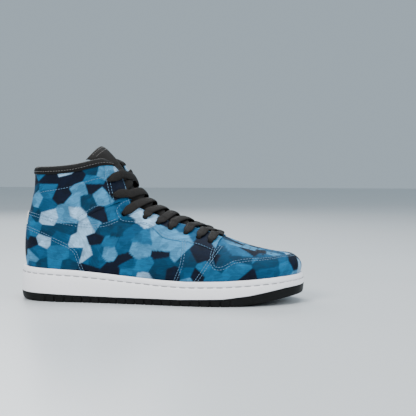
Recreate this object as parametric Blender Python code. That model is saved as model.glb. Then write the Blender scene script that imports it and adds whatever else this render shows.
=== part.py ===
"""Basketball high top, right shoe: a cupsole shoe with a stitched leather upper, tongue and lace.

Frame: +X to the toe, +Y to the medial side, +Z up, origin on the ground under the middle of the shoe.
The upper is drawn on one smooth last surface. Ribs climb that surface from the feather line, where
the upper enters the cupsole, to the collar or to the ridge of the instep. Rib 0 is the centre of the
heel, rib TOE is the centre of the toe, and the medial ribs close the loop back to the heel.
A place on the surface is (rib number, share of the rib's height).
Stations are measured from the back of the heel along the shoe, and heights from the ground.
"""

import math

import bmesh
import bpy
import numpy as np
from mathutils import Matrix, Vector
from mathutils.bvhtree import BVHTree

MM = 0.001
LENGTH = 300.0  # the sole, heel to toe
MIDDLE = LENGTH / 2
TOE = 14  # the rib at the centre of the toe
LOOP = 2 * TOE
GAP = 0.6  # clearance between neighbouring pieces

# Lateral ribs, heel to toe. Each row is (station, half width, height) in millimetres.
RIBS = [
    [(10.2, 0, 26), (6.8, 0, 44), (7.0, 0, 66), (10, 0, 88), (14.5, 0, 108), (16.5, 0, 124), (17, 0, 134)],
    [(19, 21.5, 26), (17, 24, 44), (17.2, 24.5, 66), (19.5, 23.5, 88), (23, 22.8, 108), (24.5, 23.5, 124),
     (25, 24.5, 134)],
    [(42, 31, 26), (42, 33, 44), (42, 33, 66), (43, 31.5, 88), (44, 30.3, 108), (44.5, 31, 124), (45, 32, 134.5)],
    [(75, 32.5, 25), (75, 35, 42), (74.5, 35, 64), (73.5, 33, 86), (72, 31.2, 106), (71, 31.5, 123),
     (70, 32.5, 138)],
    [(105, 34.5, 23), (105, 37.5, 40), (104, 37.2, 60), (101.5, 35, 82), (98, 32, 104), (95, 30.3, 125),
     (92, 29.5, 143.5)],
    [(126, 37, 21), (126, 40, 37), (124.5, 39.5, 56), (121.5, 36.5, 77), (117, 32, 98), (112, 27, 119),
     (105.5, 21.5, 139.5)],
    [(146, 39.5, 20), (146, 42.5, 35), (144.5, 42, 53), (140.5, 37.5, 71), (134.5, 30, 87.5), (127, 18.5, 103),
     (119, 0, 119)],
    [(168, 43.5, 19), (168, 46.5, 33), (166.5, 46, 49), (162.5, 40.5, 64), (157, 29.5, 77), (150, 16, 88),
     (143, 0, 97.5)],
    [(192, 47, 18.5), (192, 50, 31.5), (191, 49.5, 45), (188, 43, 57), (184, 31.5, 67.5), (179, 17, 76.5),
     (174.5, 0, 83)],
    [(216, 48.5, 18.5), (216, 52, 31), (215.5, 51.5, 42), (214, 45, 52), (211.5, 34, 60.5),
     (209, 18.5, 66), (207, 0, 68.5)],
    [(240, 45.5, 19), (240.5, 49.5, 30.5), (240.5, 49, 40), (240, 43.5, 47.5), (238.5, 33.5, 53),
     (236.5, 18.5, 55.7), (235, 0, 56.5)],
    [(262, 38.5, 20), (263.3, 42.5, 31), (263.5, 42, 39), (262, 37, 44.7), (259.5, 28, 48.8), (257.5, 15.5, 50.8),
     (256, 0, 51.5)],
    [(278.5, 26, 21.5), (281, 29.8, 31.5), (281, 29.3, 38.5), (278, 25.5, 43.8), (273, 19, 47.5),
     (268, 10.5, 49.5), (265.5, 0, 50.2)],
    [(287.5, 14.5, 23), (290.8, 17, 32.5), (290.8, 16.7, 38.5), (287, 14.5, 43.6), (280.5, 11, 47.2),
     (273.5, 6, 49.2), (269.8, 0, 49.8)],
    [(289.5, 0, 23.5), (293.6, 0, 33), (293.8, 0, 39), (290, 0, 43.9), (283.3, 0, 47.3), (275.5, 0, 49.2),
     (271, 0, 49.8)],
]
ROWS = len(RIBS[0])
SHAFT_RIBS = 6  # ribs 0 to 5 end at the collar, the others at the instep's ridge
MEDIAL_WIDTH = [(0, 1), (70, 1), (105, 0.93), (126, 0.86), (146, 0.83), (168, 0.86), (192, 0.91), (216, 0.94),
                (240, 0.98), (262, 1), (300, 1)]  # station, share of the lateral half width near the sole
FEATHER_TUCK = 1.0  # how far the feather line is drawn in under the upper
TOE_INSET = 7.0  # how far the toe's centre sits towards the medial side of the heel's
HEEL_OFFSET = 3.1  # how far the heel's centre sits towards the lateral side, which centres the sole's width

# The sole, seen from the side: (station, height).
CUP_TOP = [(0, 35.8), (68, 33), (121, 28.6), (158, 25.6), (185, 24.6), (222, 25.4), (248, 26.8), (299, 30.4)]
OUTSOLE_TOP = [(0, 8.6), (36, 8.2), (68, 7.2), (110, 6.4), (180, 6.4), (222, 7.6), (248, 10.8), (269, 14.8),
               (282, 17.2), (301, 19.2)]
OUTSOLE_BOTTOM = [(0, 3.2), (9, 1.1), (20, 0), (226, 0), (248, 2.0), (269, 5), (290, 8.8), (301, 10.8)]

# Seams on the upper, seen from the side: (station, height).
COLLAR_SEAM = [(31.5, 114.9), (55.3, 119), (71.3, 123.3), (86.4, 128), (97.5, 129.5)]
BAND_TOP = [(32.6, 89.7), (50.7, 85.6), (66.8, 82.8)]
GUSSET_TOP = [(66.8, 82.8), (78.8, 90.5), (86.1, 95.3), (102.5, 101)]
GUSSET_LOW = [(66.8, 82.8), (84.2, 81.3), (99.7, 83.3), (111.4, 87.9)]
HEEL_TOP = [(33.2, 72.7), (47.3, 66.2), (62, 60)]
HEEL_FRONT = [(62, 60), (70, 53.5), (74.5, 42), (79, 30)]
STAY_REAR = [(120.5, 105.5), (113.8, 102.5), (109.3, 95), (111.4, 87.9)]
STAY_LOW = [(111.4, 87.9), (116, 82.6), (126, 81), (138, 79.6), (147.4, 75.2), (157.4, 67.2), (166, 64.4),
            (177, 62.4), (195.3, 58.3), (210, 53)]
THROAT_HIGH = [(104.6, 139), (107.8, 134.5), (110.3, 130), (115, 120), (118.4, 111.5), (121, 105.5)]
THROAT_LOW = [(121, 105.5), (124.5, 99.5), (135, 93.3), (149.8, 87.3), (162, 81.3)]
THROAT_GAP = [(178, 15.5), (196, 14.5), (212.5, 12.5)]  # its lower end, as (station, half gap)
FACING_REAR = [(96, 140), (97, 128.6), (99.4, 118), (103.3, 102)]
WING_REAR = [(177, 62.4), (178.5, 55.8), (177, 42), (172, 30)]
CAP_REAR = [(194, 30), (199.5, 37.3), (208.8, 50.1), (215, 58.8)]
WINDOW_REAR = [(215, 58.8), (213, 51.2), (212.7, 45.7), (214.4, 41)]
WINDOW_SIDE = [(214.4, 41), (220, 41), (225.1, 43.1), (231.5, 45.6), (244.5, 46.6), (258.1, 46.2)]
WINDOW_FRONT_HEIGHT = 46.8  # of the window's edge at the front corner and the centre of the toe
EYELETS = [(102.1, 125.3), (107.6, 110), (118.5, 91), (138.2, 86), (151.6, 79.8), (164.5, 74.5), (180.5, 69.6),
           (194, 65.4), (206.3, 61.4)]
EYELET_RADIUS = 2.8

# Outer faces of the panels above the last surface. Overlapping panels are thicker than what they cover.
THICK = {"toe_box": 1.6, "quarter": 2.0, "gusset": 0.9, "ankle_panel": 1.5, "collar_panel": 1.0, "facing": 2.3,
         "eyestay": 2.8, "vamp_wing": 2.4, "heel_overlay": 2.7, "toe_cap": 2.9}
LINING_DEPTH = 3.3
LINING_THICK = 1.4
FOAM_THICK = 4.1  # how much deeper the lining lies behind the collar's foam
FOAM_LOW, FOAM_HIGH = 84.0, 100.0  # heights over which the foam grows
BINDING_HEIGHT = 5.6

COLOURS = {  # base colour, roughness
    "print": ((0.045, 0.20, 0.36), 0.6), "black": ((0.02, 0.019, 0.018), 0.75),
    "white_rubber": ((0.82, 0.81, 0.82), 0.5), "black_rubber": ((0.015, 0.015, 0.015), 0.7),
    "thread": ((0.45, 0.44, 0.45), 0.8), "foam": ((0.55, 0.55, 0.5), 0.9), "board": ((0.62, 0.5, 0.34), 0.9),
    "white_leather": ((0.85, 0.83, 0.82), 0.55),
}


# ---------------------------------------------------------------- the last surface


def smooth(x, low, high):
    t = np.clip((np.asarray(x, float) - low) / (high - low), 0, 1)
    return t * t * (3 - 2 * t)


def along(table, x):
    """A value from a list of (place, value) pairs."""
    return np.interp(x, [p[0] for p in table], [p[1] for p in table])


def centre_line(station):
    return TOE_INSET * smooth(station, 110, 290) - HEEL_OFFSET


def rib_points(rib, side):
    """A rib's points in millimetres. Side is -1 for lateral and 1 for medial."""
    points = []
    for row, (station, width, height) in enumerate(RIBS[rib]):
        narrowing = 1 - along(MEDIAL_WIDTH, station) if side > 0 else 0
        fade = 1 - row / (ROWS - 1)
        width = width * (1 - narrowing * fade)
        if row == 0 and 0 < rib < TOE:
            width -= FEATHER_TUCK
        points.append((station - MIDDLE, centre_line(station) + side * width, height))
    return points


def control_net():
    """Control points of the bicubic B-spline that passes through every rib's points."""
    lateral = [rib_points(i, -1) for i in range(TOE + 1)]
    medial = [rib_points(i, 1) for i in range(TOE + 1)]
    loop = lateral + [medial[i] for i in range(TOE - 1, 0, -1)]
    other = medial + [lateral[i] for i in range(TOE - 1, 0, -1)]
    data = np.zeros((LOOP, ROWS + 2, 3))
    for i in range(LOOP):
        rib = np.array(loop[i])
        is_shaft = min(i, LOOP - i) < SHAFT_RIBS
        data[i, 1:-1] = rib
        data[i, 0] = 2 * rib[0] - rib[1]
        data[i, -1] = 2 * rib[-1] - rib[-2] if is_shaft else other[i][-2]
    around = np.zeros((LOOP, LOOP))
    for i in range(LOOP):
        around[i, i] = 4 / 6
        around[i, i - 1] = around[i, (i + 1) % LOOP] = 1 / 6
    up = np.eye(ROWS + 2)
    for j in range(1, ROWS + 1):
        up[j, j - 1 : j + 2] = (1 / 6, 4 / 6, 1 / 6)
    net = np.linalg.solve(around, data.reshape(LOOP, -1)).reshape(data.shape)
    net = np.linalg.solve(up, net.transpose(1, 0, 2).reshape(ROWS + 2, -1))
    return net.reshape(ROWS + 2, LOOP, 3).transpose(1, 0, 2)


NET = control_net()


def basis(t):
    value = np.stack([(1 - t) ** 3, 3 * t**3 - 6 * t**2 + 4, -3 * t**3 + 3 * t**2 + 3 * t + 1, t**3], -1) / 6
    slope = np.stack([-((1 - t) ** 2), 3 * t**2 - 4 * t, -3 * t**2 + 2 * t + 1, t**2], -1) / 2
    return value, slope


def surface(rib, share):
    """Points and outward unit normals of the last surface, in millimetres."""
    rib, share = np.broadcast_arrays(np.asarray(rib, float), np.asarray(share, float))
    flat_rib, flat_share = rib.ravel(), np.clip(share.ravel(), -0.05, 0.9995)
    i = np.floor(flat_rib).astype(int)
    row = 1 + flat_share * (ROWS - 1)
    j = np.clip(np.floor(row).astype(int), 1, ROWS - 1)
    wa, da = basis(flat_rib - i)
    wv, dv = basis(row - j)
    ii = (i[:, None] + np.arange(-1, 3)) % LOOP
    jj = np.clip(j[:, None] + np.arange(-1, 3), 0, ROWS + 1)
    patch = NET[ii[:, :, None], jj[:, None, :]]
    point = np.einsum("na,nv,navc->nc", wa, wv, patch)
    normal = np.cross(np.einsum("na,nv,navc->nc", da, wv, patch), np.einsum("na,nv,navc->nc", wa, dv, patch))
    size = np.linalg.norm(normal, axis=1, keepdims=True)
    normal = np.where(size > 1e-3, normal / np.maximum(size, 1e-9), (0, 0, 1.0))
    return point.reshape(rib.shape + (3,)), normal.reshape(rib.shape + (3,))


def offset_surface(rib, share, distance):
    point, normal = surface(rib, share)
    return point + normal * np.asarray(distance)[..., None]


def dense_surface():
    """A fine mesh of the surface, to look up the place seen from the side or the nearest place."""
    ribs = np.linspace(0, LOOP, LOOP * 12 + 1)[:-1]
    shares = np.linspace(0, 1, 73)
    places = np.stack(np.meshgrid(ribs, shares, indexing="ij"), -1)
    points = surface(places[..., 0], places[..., 1])[0]
    across = len(shares)
    faces = []
    for i in range(len(ribs)):
        n = (i + 1) % len(ribs)
        for j in range(across - 1):
            faces.append((i * across + j, n * across + j, n * across + j + 1, i * across + j + 1))
    return BVHTree.FromPolygons(points.reshape(-1, 3).tolist(), faces), faces, places.reshape(-1, 2)


TREE, TREE_FACES, TREE_PLACES = dense_surface()


def place_at(hit, face):
    """(rib, share) of a point on one of the dense mesh's faces."""
    corners = TREE_FACES[face]
    places = TREE_PLACES[list(corners)].copy()
    if places[:, 0].max() - places[:, 0].min() > 1:
        places[places[:, 0] < 1, 0] += LOOP
    points = surface(places[:, 0], places[:, 1])[0]
    edge_a, edge_v = points[1] - points[0], points[3] - points[0]
    offset = np.array(hit) - points[0]
    ua, uv = np.linalg.lstsq(np.stack([edge_a, edge_v], 1), offset, rcond=None)[0]
    return places[0] + (places[1] - places[0]) * ua + (places[3] - places[0]) * uv


def seen_from_side(station, height, side):
    """(rib, share) of the surface seen from the lateral (-1) or medial (1) side at that place."""
    start = Vector((station - MIDDLE, side * 500.0, height))
    hit, _, face, _ = TREE.ray_cast(start, Vector((0, -side, 0)))
    if hit is None:
        raise ValueError(f"nothing is seen at station {station}, height {height}")
    return place_at(hit, face)


def share_at_height(rib, height):
    shares = np.linspace(0, 1, 241)
    return float(np.interp(height, surface(np.full(241, rib), shares)[0][:, 2], shares))


# ---------------------------------------------------------------- curves and panels on the surface


def smooth_curve(points, count):
    """A smooth curve through the points, sampled evenly by length."""
    points = np.asarray(points, float)
    if len(points) == 2:
        dense = points[0] + (points[1] - points[0]) * np.linspace(0, 1, 60)[:, None]
    else:
        padded = np.vstack([2 * points[0] - points[1], points, 2 * points[-1] - points[-2]])
        dense = []
        for k in range(1, len(padded) - 2):
            p0, p1, p2, p3 = padded[k - 1 : k + 3]
            for t in np.linspace(0, 1, 24, endpoint=False):
                dense.append(0.5 * (2 * p1 + (p2 - p0) * t + (2 * p0 - 5 * p1 + 4 * p2 - p3) * t**2
                                    + (3 * p1 - p0 - 3 * p2 + p3) * t**3))
        dense = np.array(dense + [points[-1]])
    length = np.concatenate([[0], np.cumsum(np.linalg.norm(np.diff(dense, axis=0), axis=1))])
    wanted = np.linspace(0, length[-1], count)
    return np.stack([np.interp(wanted, length, dense[:, c]) for c in range(dense.shape[1])], 1)


def seam(points, side):
    """A seam drawn from the side, as a smooth curve of (rib, share) places. Medial ribs count down."""
    places = []
    for station, height in smooth_curve(points, 40):
        rib, share = seen_from_side(station, height, side)
        places.append((LOOP - rib if side > 0 else rib, share))
    return np.array(places)


def seam_from_above(start, points, side):
    """A seam that carries on from a place through points given as (station, distance from the centre line)."""
    first = surface(start[0] if side < 0 else LOOP - start[0], start[1])[0]
    gap = abs(first[1] - centre_line(first[0] + MIDDLE))
    places = [start]
    for station, across in smooth_curve([(first[0] + MIDDLE, gap)] + points, 30)[1:]:
        above = Vector((station - MIDDLE, float(centre_line(station)) + side * across, 300.0))
        hit, _, face, _ = TREE.ray_cast(above, Vector((0, 0, -1)))
        rib, share = place_at(hit, face)
        places.append(np.array((LOOP - rib if side > 0 else rib, share)))
    return np.array(places)


def join(*curves):
    """One curve from several whose ends meet."""
    return np.vstack([curves[0]] + [c[1:] for c in curves[1:]])


def resample(curve, shares):
    """The curve at these shares of its real length on the surface."""
    points = surface(curve[:, 0], curve[:, 1])[0]
    length = np.concatenate([[0], np.cumsum(np.linalg.norm(np.diff(points, axis=0), axis=1))])
    wanted = np.asarray(shares) * length[-1]
    return np.stack([np.interp(wanted, length, curve[:, c]) for c in (0, 1)], 1)


def patch(low, high, left, right, nu, nv):
    """Places over a four-sided panel, between its low and high edges and its left and right edges."""
    u, v = np.linspace(0, 1, nu), np.linspace(0, 1, nv)
    low, high = resample(low, u), resample(high, u)
    left, right = resample(left, v), resample(right, v)
    uu, vv = u[:, None, None], v[None, :, None]
    ruled = low[:, None] * (1 - vv) + high[:, None] * vv
    sides = left[None] * (1 - uu) + right[None] * uu
    corners = ((low[0] * (1 - uu) + low[-1] * uu) * (1 - vv) + (high[0] * (1 - uu) + high[-1] * uu) * vv)
    return ruled + sides - corners


def shrink(points, gap):
    """Draws a grid's edges in by the gap along the grid."""
    points = points.copy()
    for edge, inner in (((0,), (1,)), ((-1,), (-2,)), ((slice(None), 0), (slice(None), 1)),
                        ((slice(None), -1), (slice(None), -2))):
        step = points[inner] - points[edge]
        points[edge] += step * (gap / np.maximum(np.linalg.norm(step, axis=-1, keepdims=True), 4 * gap))
    return points


def shell_faces(rows, columns, ends=True):
    """Faces of a closed shell over two grids of points. Without ends, the last row is zipped up by merging."""
    size = rows * columns

    def quad(a, b, c, d, back):
        return (d + back, c + back, b + back, a + back) if back else (a, b, c, d)

    faces = []
    for i in range(rows - 1):
        for j in range(columns - 1):
            a, b = i * columns + j, (i + 1) * columns + j
            faces.append(quad(a, b, b + 1, a + 1, 0))
            faces.append(quad(a, b, b + 1, a + 1, size))
    for i in range(rows - 1):
        a, b = i * columns, (i + 1) * columns
        faces.append((a + size, b + size, b, a))
        a, b = a + columns - 1, b + columns - 1
        faces.append((a, b, b + size, a + size))
    for j in range(columns - 1):
        faces.append((j, j + 1, j + 1 + size, j + size))
        if ends:
            k = (rows - 1) * columns + j
            faces.append((k + size, k + 1 + size, k + 1, k))
    return faces


# ---------------------------------------------------------------- Blender objects


def material(name, look):
    """A sub-part's own material."""
    colour, roughness = COLOURS[look]
    made = bpy.data.materials.new(f"{name}_finish")
    made.use_nodes = True
    shader = made.node_tree.nodes["Principled BSDF"]
    shader.inputs["Base Color"].default_value = (*colour, 1)
    shader.inputs["Roughness"].default_value = roughness
    return made


def add_object(name, points, faces, colour, merge=0.0):
    """A mesh object from points in millimetres. Faces that merging closes up are dropped."""
    mesh = bpy.data.meshes.new(name)
    mesh.from_pydata((np.asarray(points).reshape(-1, 3) * MM).tolist(), [], faces)
    bm = bmesh.new()
    bm.from_mesh(mesh)
    if merge:
        bmesh.ops.remove_doubles(bm, verts=bm.verts, dist=merge * MM)
    bmesh.ops.triangulate(bm, faces=bm.faces)
    bmesh.ops.recalc_face_normals(bm, faces=bm.faces)
    if bm.calc_volume(signed=True) < 0:
        bmesh.ops.reverse_faces(bm, faces=bm.faces)
    bm.to_mesh(mesh)
    bm.free()
    mesh.shade_smooth()
    mesh.set_sharp_from_angle(angle=math.radians(35))
    mesh.materials.append(material(name, colour))
    made = bpy.data.objects.new(name, mesh)
    bpy.context.scene.collection.objects.link(made)
    return made


def set_origin(made, pivot):
    """Puts a moving piece's origin on its joint's axis, without moving the piece."""
    made.data.transform(Matrix.Translation(-Vector(pivot) * MM))
    made.location = Vector(pivot) * MM


def add_panel(name, places, outer, colour, inner=0.0):
    """A leather panel: a closed shell over a patch of places, from the inner to the outer offset."""
    points = [shrink(offset_surface(places[..., 0], places[..., 1], np.full(places.shape[:2], d)), GAP)
              for d in (outer, inner)]
    rows, columns = places.shape[:2]
    return add_object(name, np.stack(points), shell_faces(rows, columns), colour)


def mirror_places(places):
    """The same places on the medial side."""
    mirrored = places.copy()
    mirrored[..., 0] = LOOP - mirrored[..., 0]
    return mirrored


# ---------------------------------------------------------------- the upper's panels


def rib_point(rib, height):
    return np.array([[rib, share_at_height(rib, height)]])


def straight(start, end):
    """A straight seam in (rib, share), between two places."""
    return np.asarray(start) + (np.asarray(end) - start) * np.linspace(0, 1, 12)[:, None]


def heel_to(points, side, height):
    """A seam that starts at the centre of the heel at that height and then follows the points."""
    first = rib_point(0, height)
    rest = seam(points, side)
    middle = rib_point(1, height + (rest[0, 1] - first[0, 1]) * 30)
    blend = smooth_curve(np.vstack([first, middle, rest[:1]]), 12)
    return join(blend, rest)


def sole_line(start, end):
    return straight((start, 0.0), (end, 0.0))


def down_to_sole(curve):
    """The curve carried on to the feather line."""
    end, before = curve[-1], curve[-4]
    slope = (end[0] - before[0]) / (end[1] - before[1])
    foot = (end[0] - slope * end[1], 0.0)
    return join(curve, straight(end, foot))


def side_seams(side):
    """Every seam of one side of the upper, by name. Ribs count up from the heel on both sides."""
    seams = {
        "collar": heel_to(COLLAR_SEAM, side, 111.5), "band": heel_to(BAND_TOP, side, 93.5),
        "gusset_top": seam(GUSSET_TOP, side), "gusset_low": seam(GUSSET_LOW, side),
        "heel_top": heel_to(HEEL_TOP, side, 78.8), "heel_front": down_to_sole(seam(HEEL_FRONT, side)),
        "stay_rear": seam(STAY_REAR, side), "stay_low": seam(STAY_LOW, side),
        "throat_high": seam(THROAT_HIGH, side), "throat_low": seam(THROAT_LOW, side),
        "facing_rear": seam(FACING_REAR, side), "wing_rear": down_to_sole(seam(WING_REAR, side)),
        "cap_rear": down_to_sole(seam(CAP_REAR[::-1], side))[::-1], "window_rear": seam(WINDOW_REAR, side),
        "window_side": seam(WINDOW_SIDE, side),
    }
    low = seams["throat_low"]
    seams["throat_low"] = join(low, seam_from_above(low[-1], THROAT_GAP, side))
    corner = seams["window_side"][-1]
    front = [corner] + [(rib, share_at_height(rib, WINDOW_FRONT_HEIGHT)) for rib in (12, 13, TOE)]
    seams["window_front"] = smooth_curve(np.array(front), 30)
    return seams


def cut(curve, share_of_length, keep_start=True):
    """Part of a curve, up to or from a share of its length."""
    ends = (0, share_of_length) if keep_start else (share_of_length, 1)
    return resample(curve, np.linspace(*ends, 30))


def nearest_share(curve, place):
    """The share of the curve's length nearest to a place."""
    fine = resample(curve, np.linspace(0, 1, 401))
    return float(np.argmin(np.linalg.norm((fine - place) * (1, 5), axis=1)) / 400)


def panel_edges(side):
    """(low, high, left, right) edges of each panel on one side, all running forward or up."""
    s = side_seams(side)
    top_of_facing = s["facing_rear"][0]
    collar_edge = straight((0.0, 0.985), (top_of_facing[0], 0.985))
    meet = nearest_share(s["facing_rear"], s["collar"][-1])
    facing_high, facing_low = cut(s["facing_rear"], meet), cut(s["facing_rear"], meet, False)
    split = nearest_share(s["stay_low"], s["wing_rear"][0])
    stay_to_wing, stay_on_wing = cut(s["stay_low"], split), cut(s["stay_low"], split, False)
    heel_left = straight(s["heel_top"][0], s["band"][0])
    quarter_low = join(s["heel_top"], s["heel_front"], sole_line(s["heel_front"][-1, 0], s["wing_rear"][-1, 0]))
    quarter_high = join(s["band"], s["gusset_low"], stay_to_wing)
    cap_split = nearest_share(s["cap_rear"], s["stay_low"][-1])
    cap_low_rear = cut(s["cap_rear"], cap_split)
    throat = join(s["throat_high"], s["throat_low"])
    return {
        "collar_panel": (s["collar"], collar_edge, straight(s["collar"][0], collar_edge[0]), facing_high[::-1]),
        "ankle_panel": (join(s["band"], s["gusset_top"]), s["collar"],
                        straight(s["band"][0], s["collar"][0]), facing_low[::-1]),
        "gusset": (s["gusset_low"], join(s["gusset_top"], straight(s["gusset_top"][-1], s["stay_rear"][1])),
                   np.vstack([s["gusset_low"][0]] * 2), s["stay_rear"][1:][::-1]),
        "quarter": (quarter_low, quarter_high, heel_left, s["wing_rear"][::-1]),
        "facing": (straight(s["facing_rear"][-1], s["throat_high"][-1]),
                   straight(top_of_facing, s["throat_high"][0]), s["facing_rear"][::-1], s["throat_high"][::-1]),
        "eyestay": (join(s["stay_rear"][1:], s["stay_low"]), s["throat_low"],
                    straight(s["stay_rear"][1], s["throat_low"][0]),
                    straight(s["stay_low"][-1], s["throat_low"][-1])),
        "vamp_wing": (sole_line(s["wing_rear"][-1, 0], s["cap_rear"][0, 0]), stay_on_wing,
                      s["wing_rear"][::-1], cap_low_rear),
        "seams": s, "throat": throat,
    }


EDGES = {side: panel_edges(side) for side in (-1, 1)}
SIDES = {-1: "lateral", 1: "medial"}


def on_side(places, side):
    return places if side < 0 else mirror_places(places)


def add_side_panels():
    """The panels that come in a lateral and a medial copy."""
    sizes = {"ankle_panel": (13, 6), "gusset": (7, 5), "quarter": (26, 8), "facing": (4, 7),
             "eyestay": (18, 5), "vamp_wing": (6, 7)}
    for side, side_name in SIDES.items():
        for name, (nu, nv) in sizes.items():
            places = on_side(patch(*EDGES[side][name], nu, nv), side)
            add_panel(f"{name}_{side_name}", places, THICK[name], "print")


def add_wrap_panels():
    """The collar panel, heel overlay and toe cap, which run from one side round to the other."""
    halves = {side: EDGES[side]["collar_panel"] for side in SIDES}
    both = [np.concatenate([mirror_ribs(patch(*halves[1], 14, 4))[::-1], patch(*halves[-1], 14, 4)[1:]])]
    add_panel("collar_panel", both[0], THICK["collar_panel"], "print")
    heel = []
    for side in SIDES:
        s = EDGES[side]["seams"]
        low = sole_line(0.0, s["heel_front"][-1, 0])
        left = straight((0.0, 0.0), s["heel_top"][0])
        heel.append(patch(low, s["heel_top"], left, s["heel_front"][::-1], 9, 8))
    add_panel("heel_overlay", np.concatenate([mirror_ribs(heel[1])[::-1], heel[0][1:]]), THICK["heel_overlay"],
              "print")
    caps = []
    for side in SIDES:
        s = EDGES[side]["seams"]
        low = sole_line(s["cap_rear"][0, 0], TOE)
        high = join(s["window_rear"], s["window_side"], s["window_front"])
        right = straight((TOE, 0.0), s["window_front"][-1])
        caps.append(patch(low, high, s["cap_rear"], right, 24, 6))
    add_panel("toe_cap", np.concatenate([caps[0], mirror_places(caps[1])[::-1][1:]]), THICK["toe_cap"], "print")


def mirror_ribs(places):
    """Medial places as negative rib numbers, so that a panel can cross the heel."""
    mirrored = places.copy()
    mirrored[..., 0] *= -1
    return mirrored


def dome(name, ribs, low_share, outer, inner, columns, colour, rear=lambda reach: 0.0):
    """A shell over the toe from one side across the ridge to the other, zipped up at the toe's centre.

    Rear says how far its rear edge stands forward of the first rib, in ribs, from the ridge (0) to the side (1).
    """
    half = (columns - 1) // 2
    grids = []
    for distance in (outer, inner):
        rows = []
        for rib in ribs:
            row = []
            for k in range(columns):
                side = -1 if k <= half else 1
                reach = abs(k - half) / half
                place = rib + rear(reach) * (TOE - rib) / (TOE - ribs[0])
                low = low_share(place, side)
                share = 1 - reach * (1 - low)
                here = place if side < 0 else LOOP - place
                depth = distance(here, share) if callable(distance) else distance
                row.append(offset_surface(here, share, depth))
            rows.append(row)
        rows = np.array(rows)
        rows[:, half, 1] = [centre_line(p + MIDDLE) for p in rows[:, half, 0]]
        centre = (rows[-1] + rows[-1][::-1]) / 2
        rows[-1] = centre
        first = rows[1] - rows[0]
        rows[0] += first * (GAP / np.linalg.norm(first, axis=-1, keepdims=True))
        for edge, inner_edge in ((0, 1), (-1, -2)):
            step = rows[:, inner_edge] - rows[:, edge]
            rows[:, edge] += step * (GAP / np.linalg.norm(step, axis=-1, keepdims=True))
        grids.append(rows)
    return add_object(name, np.stack(grids), shell_faces(len(ribs), columns, ends=False), colour, merge=0.02)


def window_edge(rib, side):
    """The share of the toe box's side edge on a rib."""
    s = EDGES[side]["seams"]
    edge = join(s["window_side"], s["window_front"])
    return float(np.interp(rib, edge[:, 0], edge[:, 1]))


def add_toe_box():
    edge = EDGES[-1]["seams"]["window_rear"]
    first = edge[:, 0].min() + 0.05
    low = edge[-1, 1]
    reaches = (1 - edge[:, 1]) / (1 - low)

    def rear(reach):
        return float(np.interp(reach, [0.3] + list(reaches), [0.33] + list(edge[:, 0] + 0.05 - first)))

    dome("toe_box", np.linspace(first, TOE, 13), window_edge, THICK["toe_box"], 0.0, 15, "print", rear)


# ---------------------------------------------------------------- lining, stiffeners and collar


def lining_depth(height):
    return LINING_DEPTH + FOAM_THICK * smooth(height, FOAM_LOW, FOAM_HIGH)


def shell_grid(ribs, low, high, columns, outer, inner):
    """Two grids over ribs, from the low to the high share, at depths that may follow the height."""
    shares = np.array([np.linspace(low(r), high(r), columns) for r in ribs])
    rib_grid = np.repeat(np.asarray(ribs)[:, None], columns, 1)
    point, normal = surface(rib_grid, shares)
    height = point[..., 2]
    return [point + normal * (d(height) if callable(d) else np.full(height.shape, d))[..., None]
            for d in (outer, inner)]


def rear_ribs(last, count):
    return np.linspace(-last, last, count)


LINING_FRONT = 4.2  # the rib at which the padded collar ends, just behind the facings


def lining_top(rib):
    """The lining's highest share on a rib: the collar's edge, then below the facing and the eyestay."""
    if rib <= LINING_FRONT + 0.01:
        return 0.975
    low = EDGES[-1]["seams"]["stay_low"]
    below_facing = share_at_height(LINING_FRONT, 99.0)
    return float(np.interp(rib, [LINING_FRONT] + list(low[:, 0]), [below_facing] + list(low[:, 1] - 0.01)))


def add_quarter_lining():
    front = [4.28, 4.5, 4.8, 5.4, 6.0, 6.7, 7.4, 8.1, 8.8]
    ribs = np.concatenate([-np.array(front[::-1]), np.linspace(-LINING_FRONT, LINING_FRONT, 15), front])
    grids = shell_grid(ribs, lambda r: 0.012, lambda r: lining_top(abs(r)), 9,
                       lambda z: -lining_depth(z), lambda z: -lining_depth(z) - LINING_THICK)
    add_object("quarter_lining", np.stack(grids), shell_faces(len(ribs), 9), "black")


def add_vamp_lining():
    dome("vamp_lining", np.linspace(9.05, TOE, 11), lambda r, s: 0.012, -LINING_DEPTH,
         -LINING_DEPTH - LINING_THICK, 15, "foam",
         lambda reach: 0.35 * (1 - float(smooth(reach, 0.25, 0.6))))


def add_stiffeners():
    dome("toe_puff", np.linspace(11.2, TOE, 8), lambda r, s: 0.06, -1.0, -2.2, 15, "board")
    ribs = rear_ribs(3.2, 13)
    grids = shell_grid(ribs, lambda r: 0.06, lambda r: 0.42 - 0.012 * r * r, 5, -1.0, -2.2)
    add_object("heel_counter", np.stack(grids), shell_faces(13, 5), "board")


def add_collar_foam():
    ribs = rear_ribs(LINING_FRONT - 0.05, 17)
    foot = FOAM_HIGH + 3.0
    grids = shell_grid(ribs, lambda r: share_at_height(r, foot), lambda r: 0.975, 4, -0.6,
                       lambda z: -lining_depth(z) + 1.0)
    add_object("collar_foam", np.stack(grids), shell_faces(17, 4), "foam")


def collar_frame(rib):
    """Centre of the collar's edge, its outward direction and its up direction."""
    point, normal = surface(rib, 0.985)
    below = surface(rib, 0.93)[0]
    up = (point - below) / np.linalg.norm(point - below)
    return point, normal, up


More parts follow.
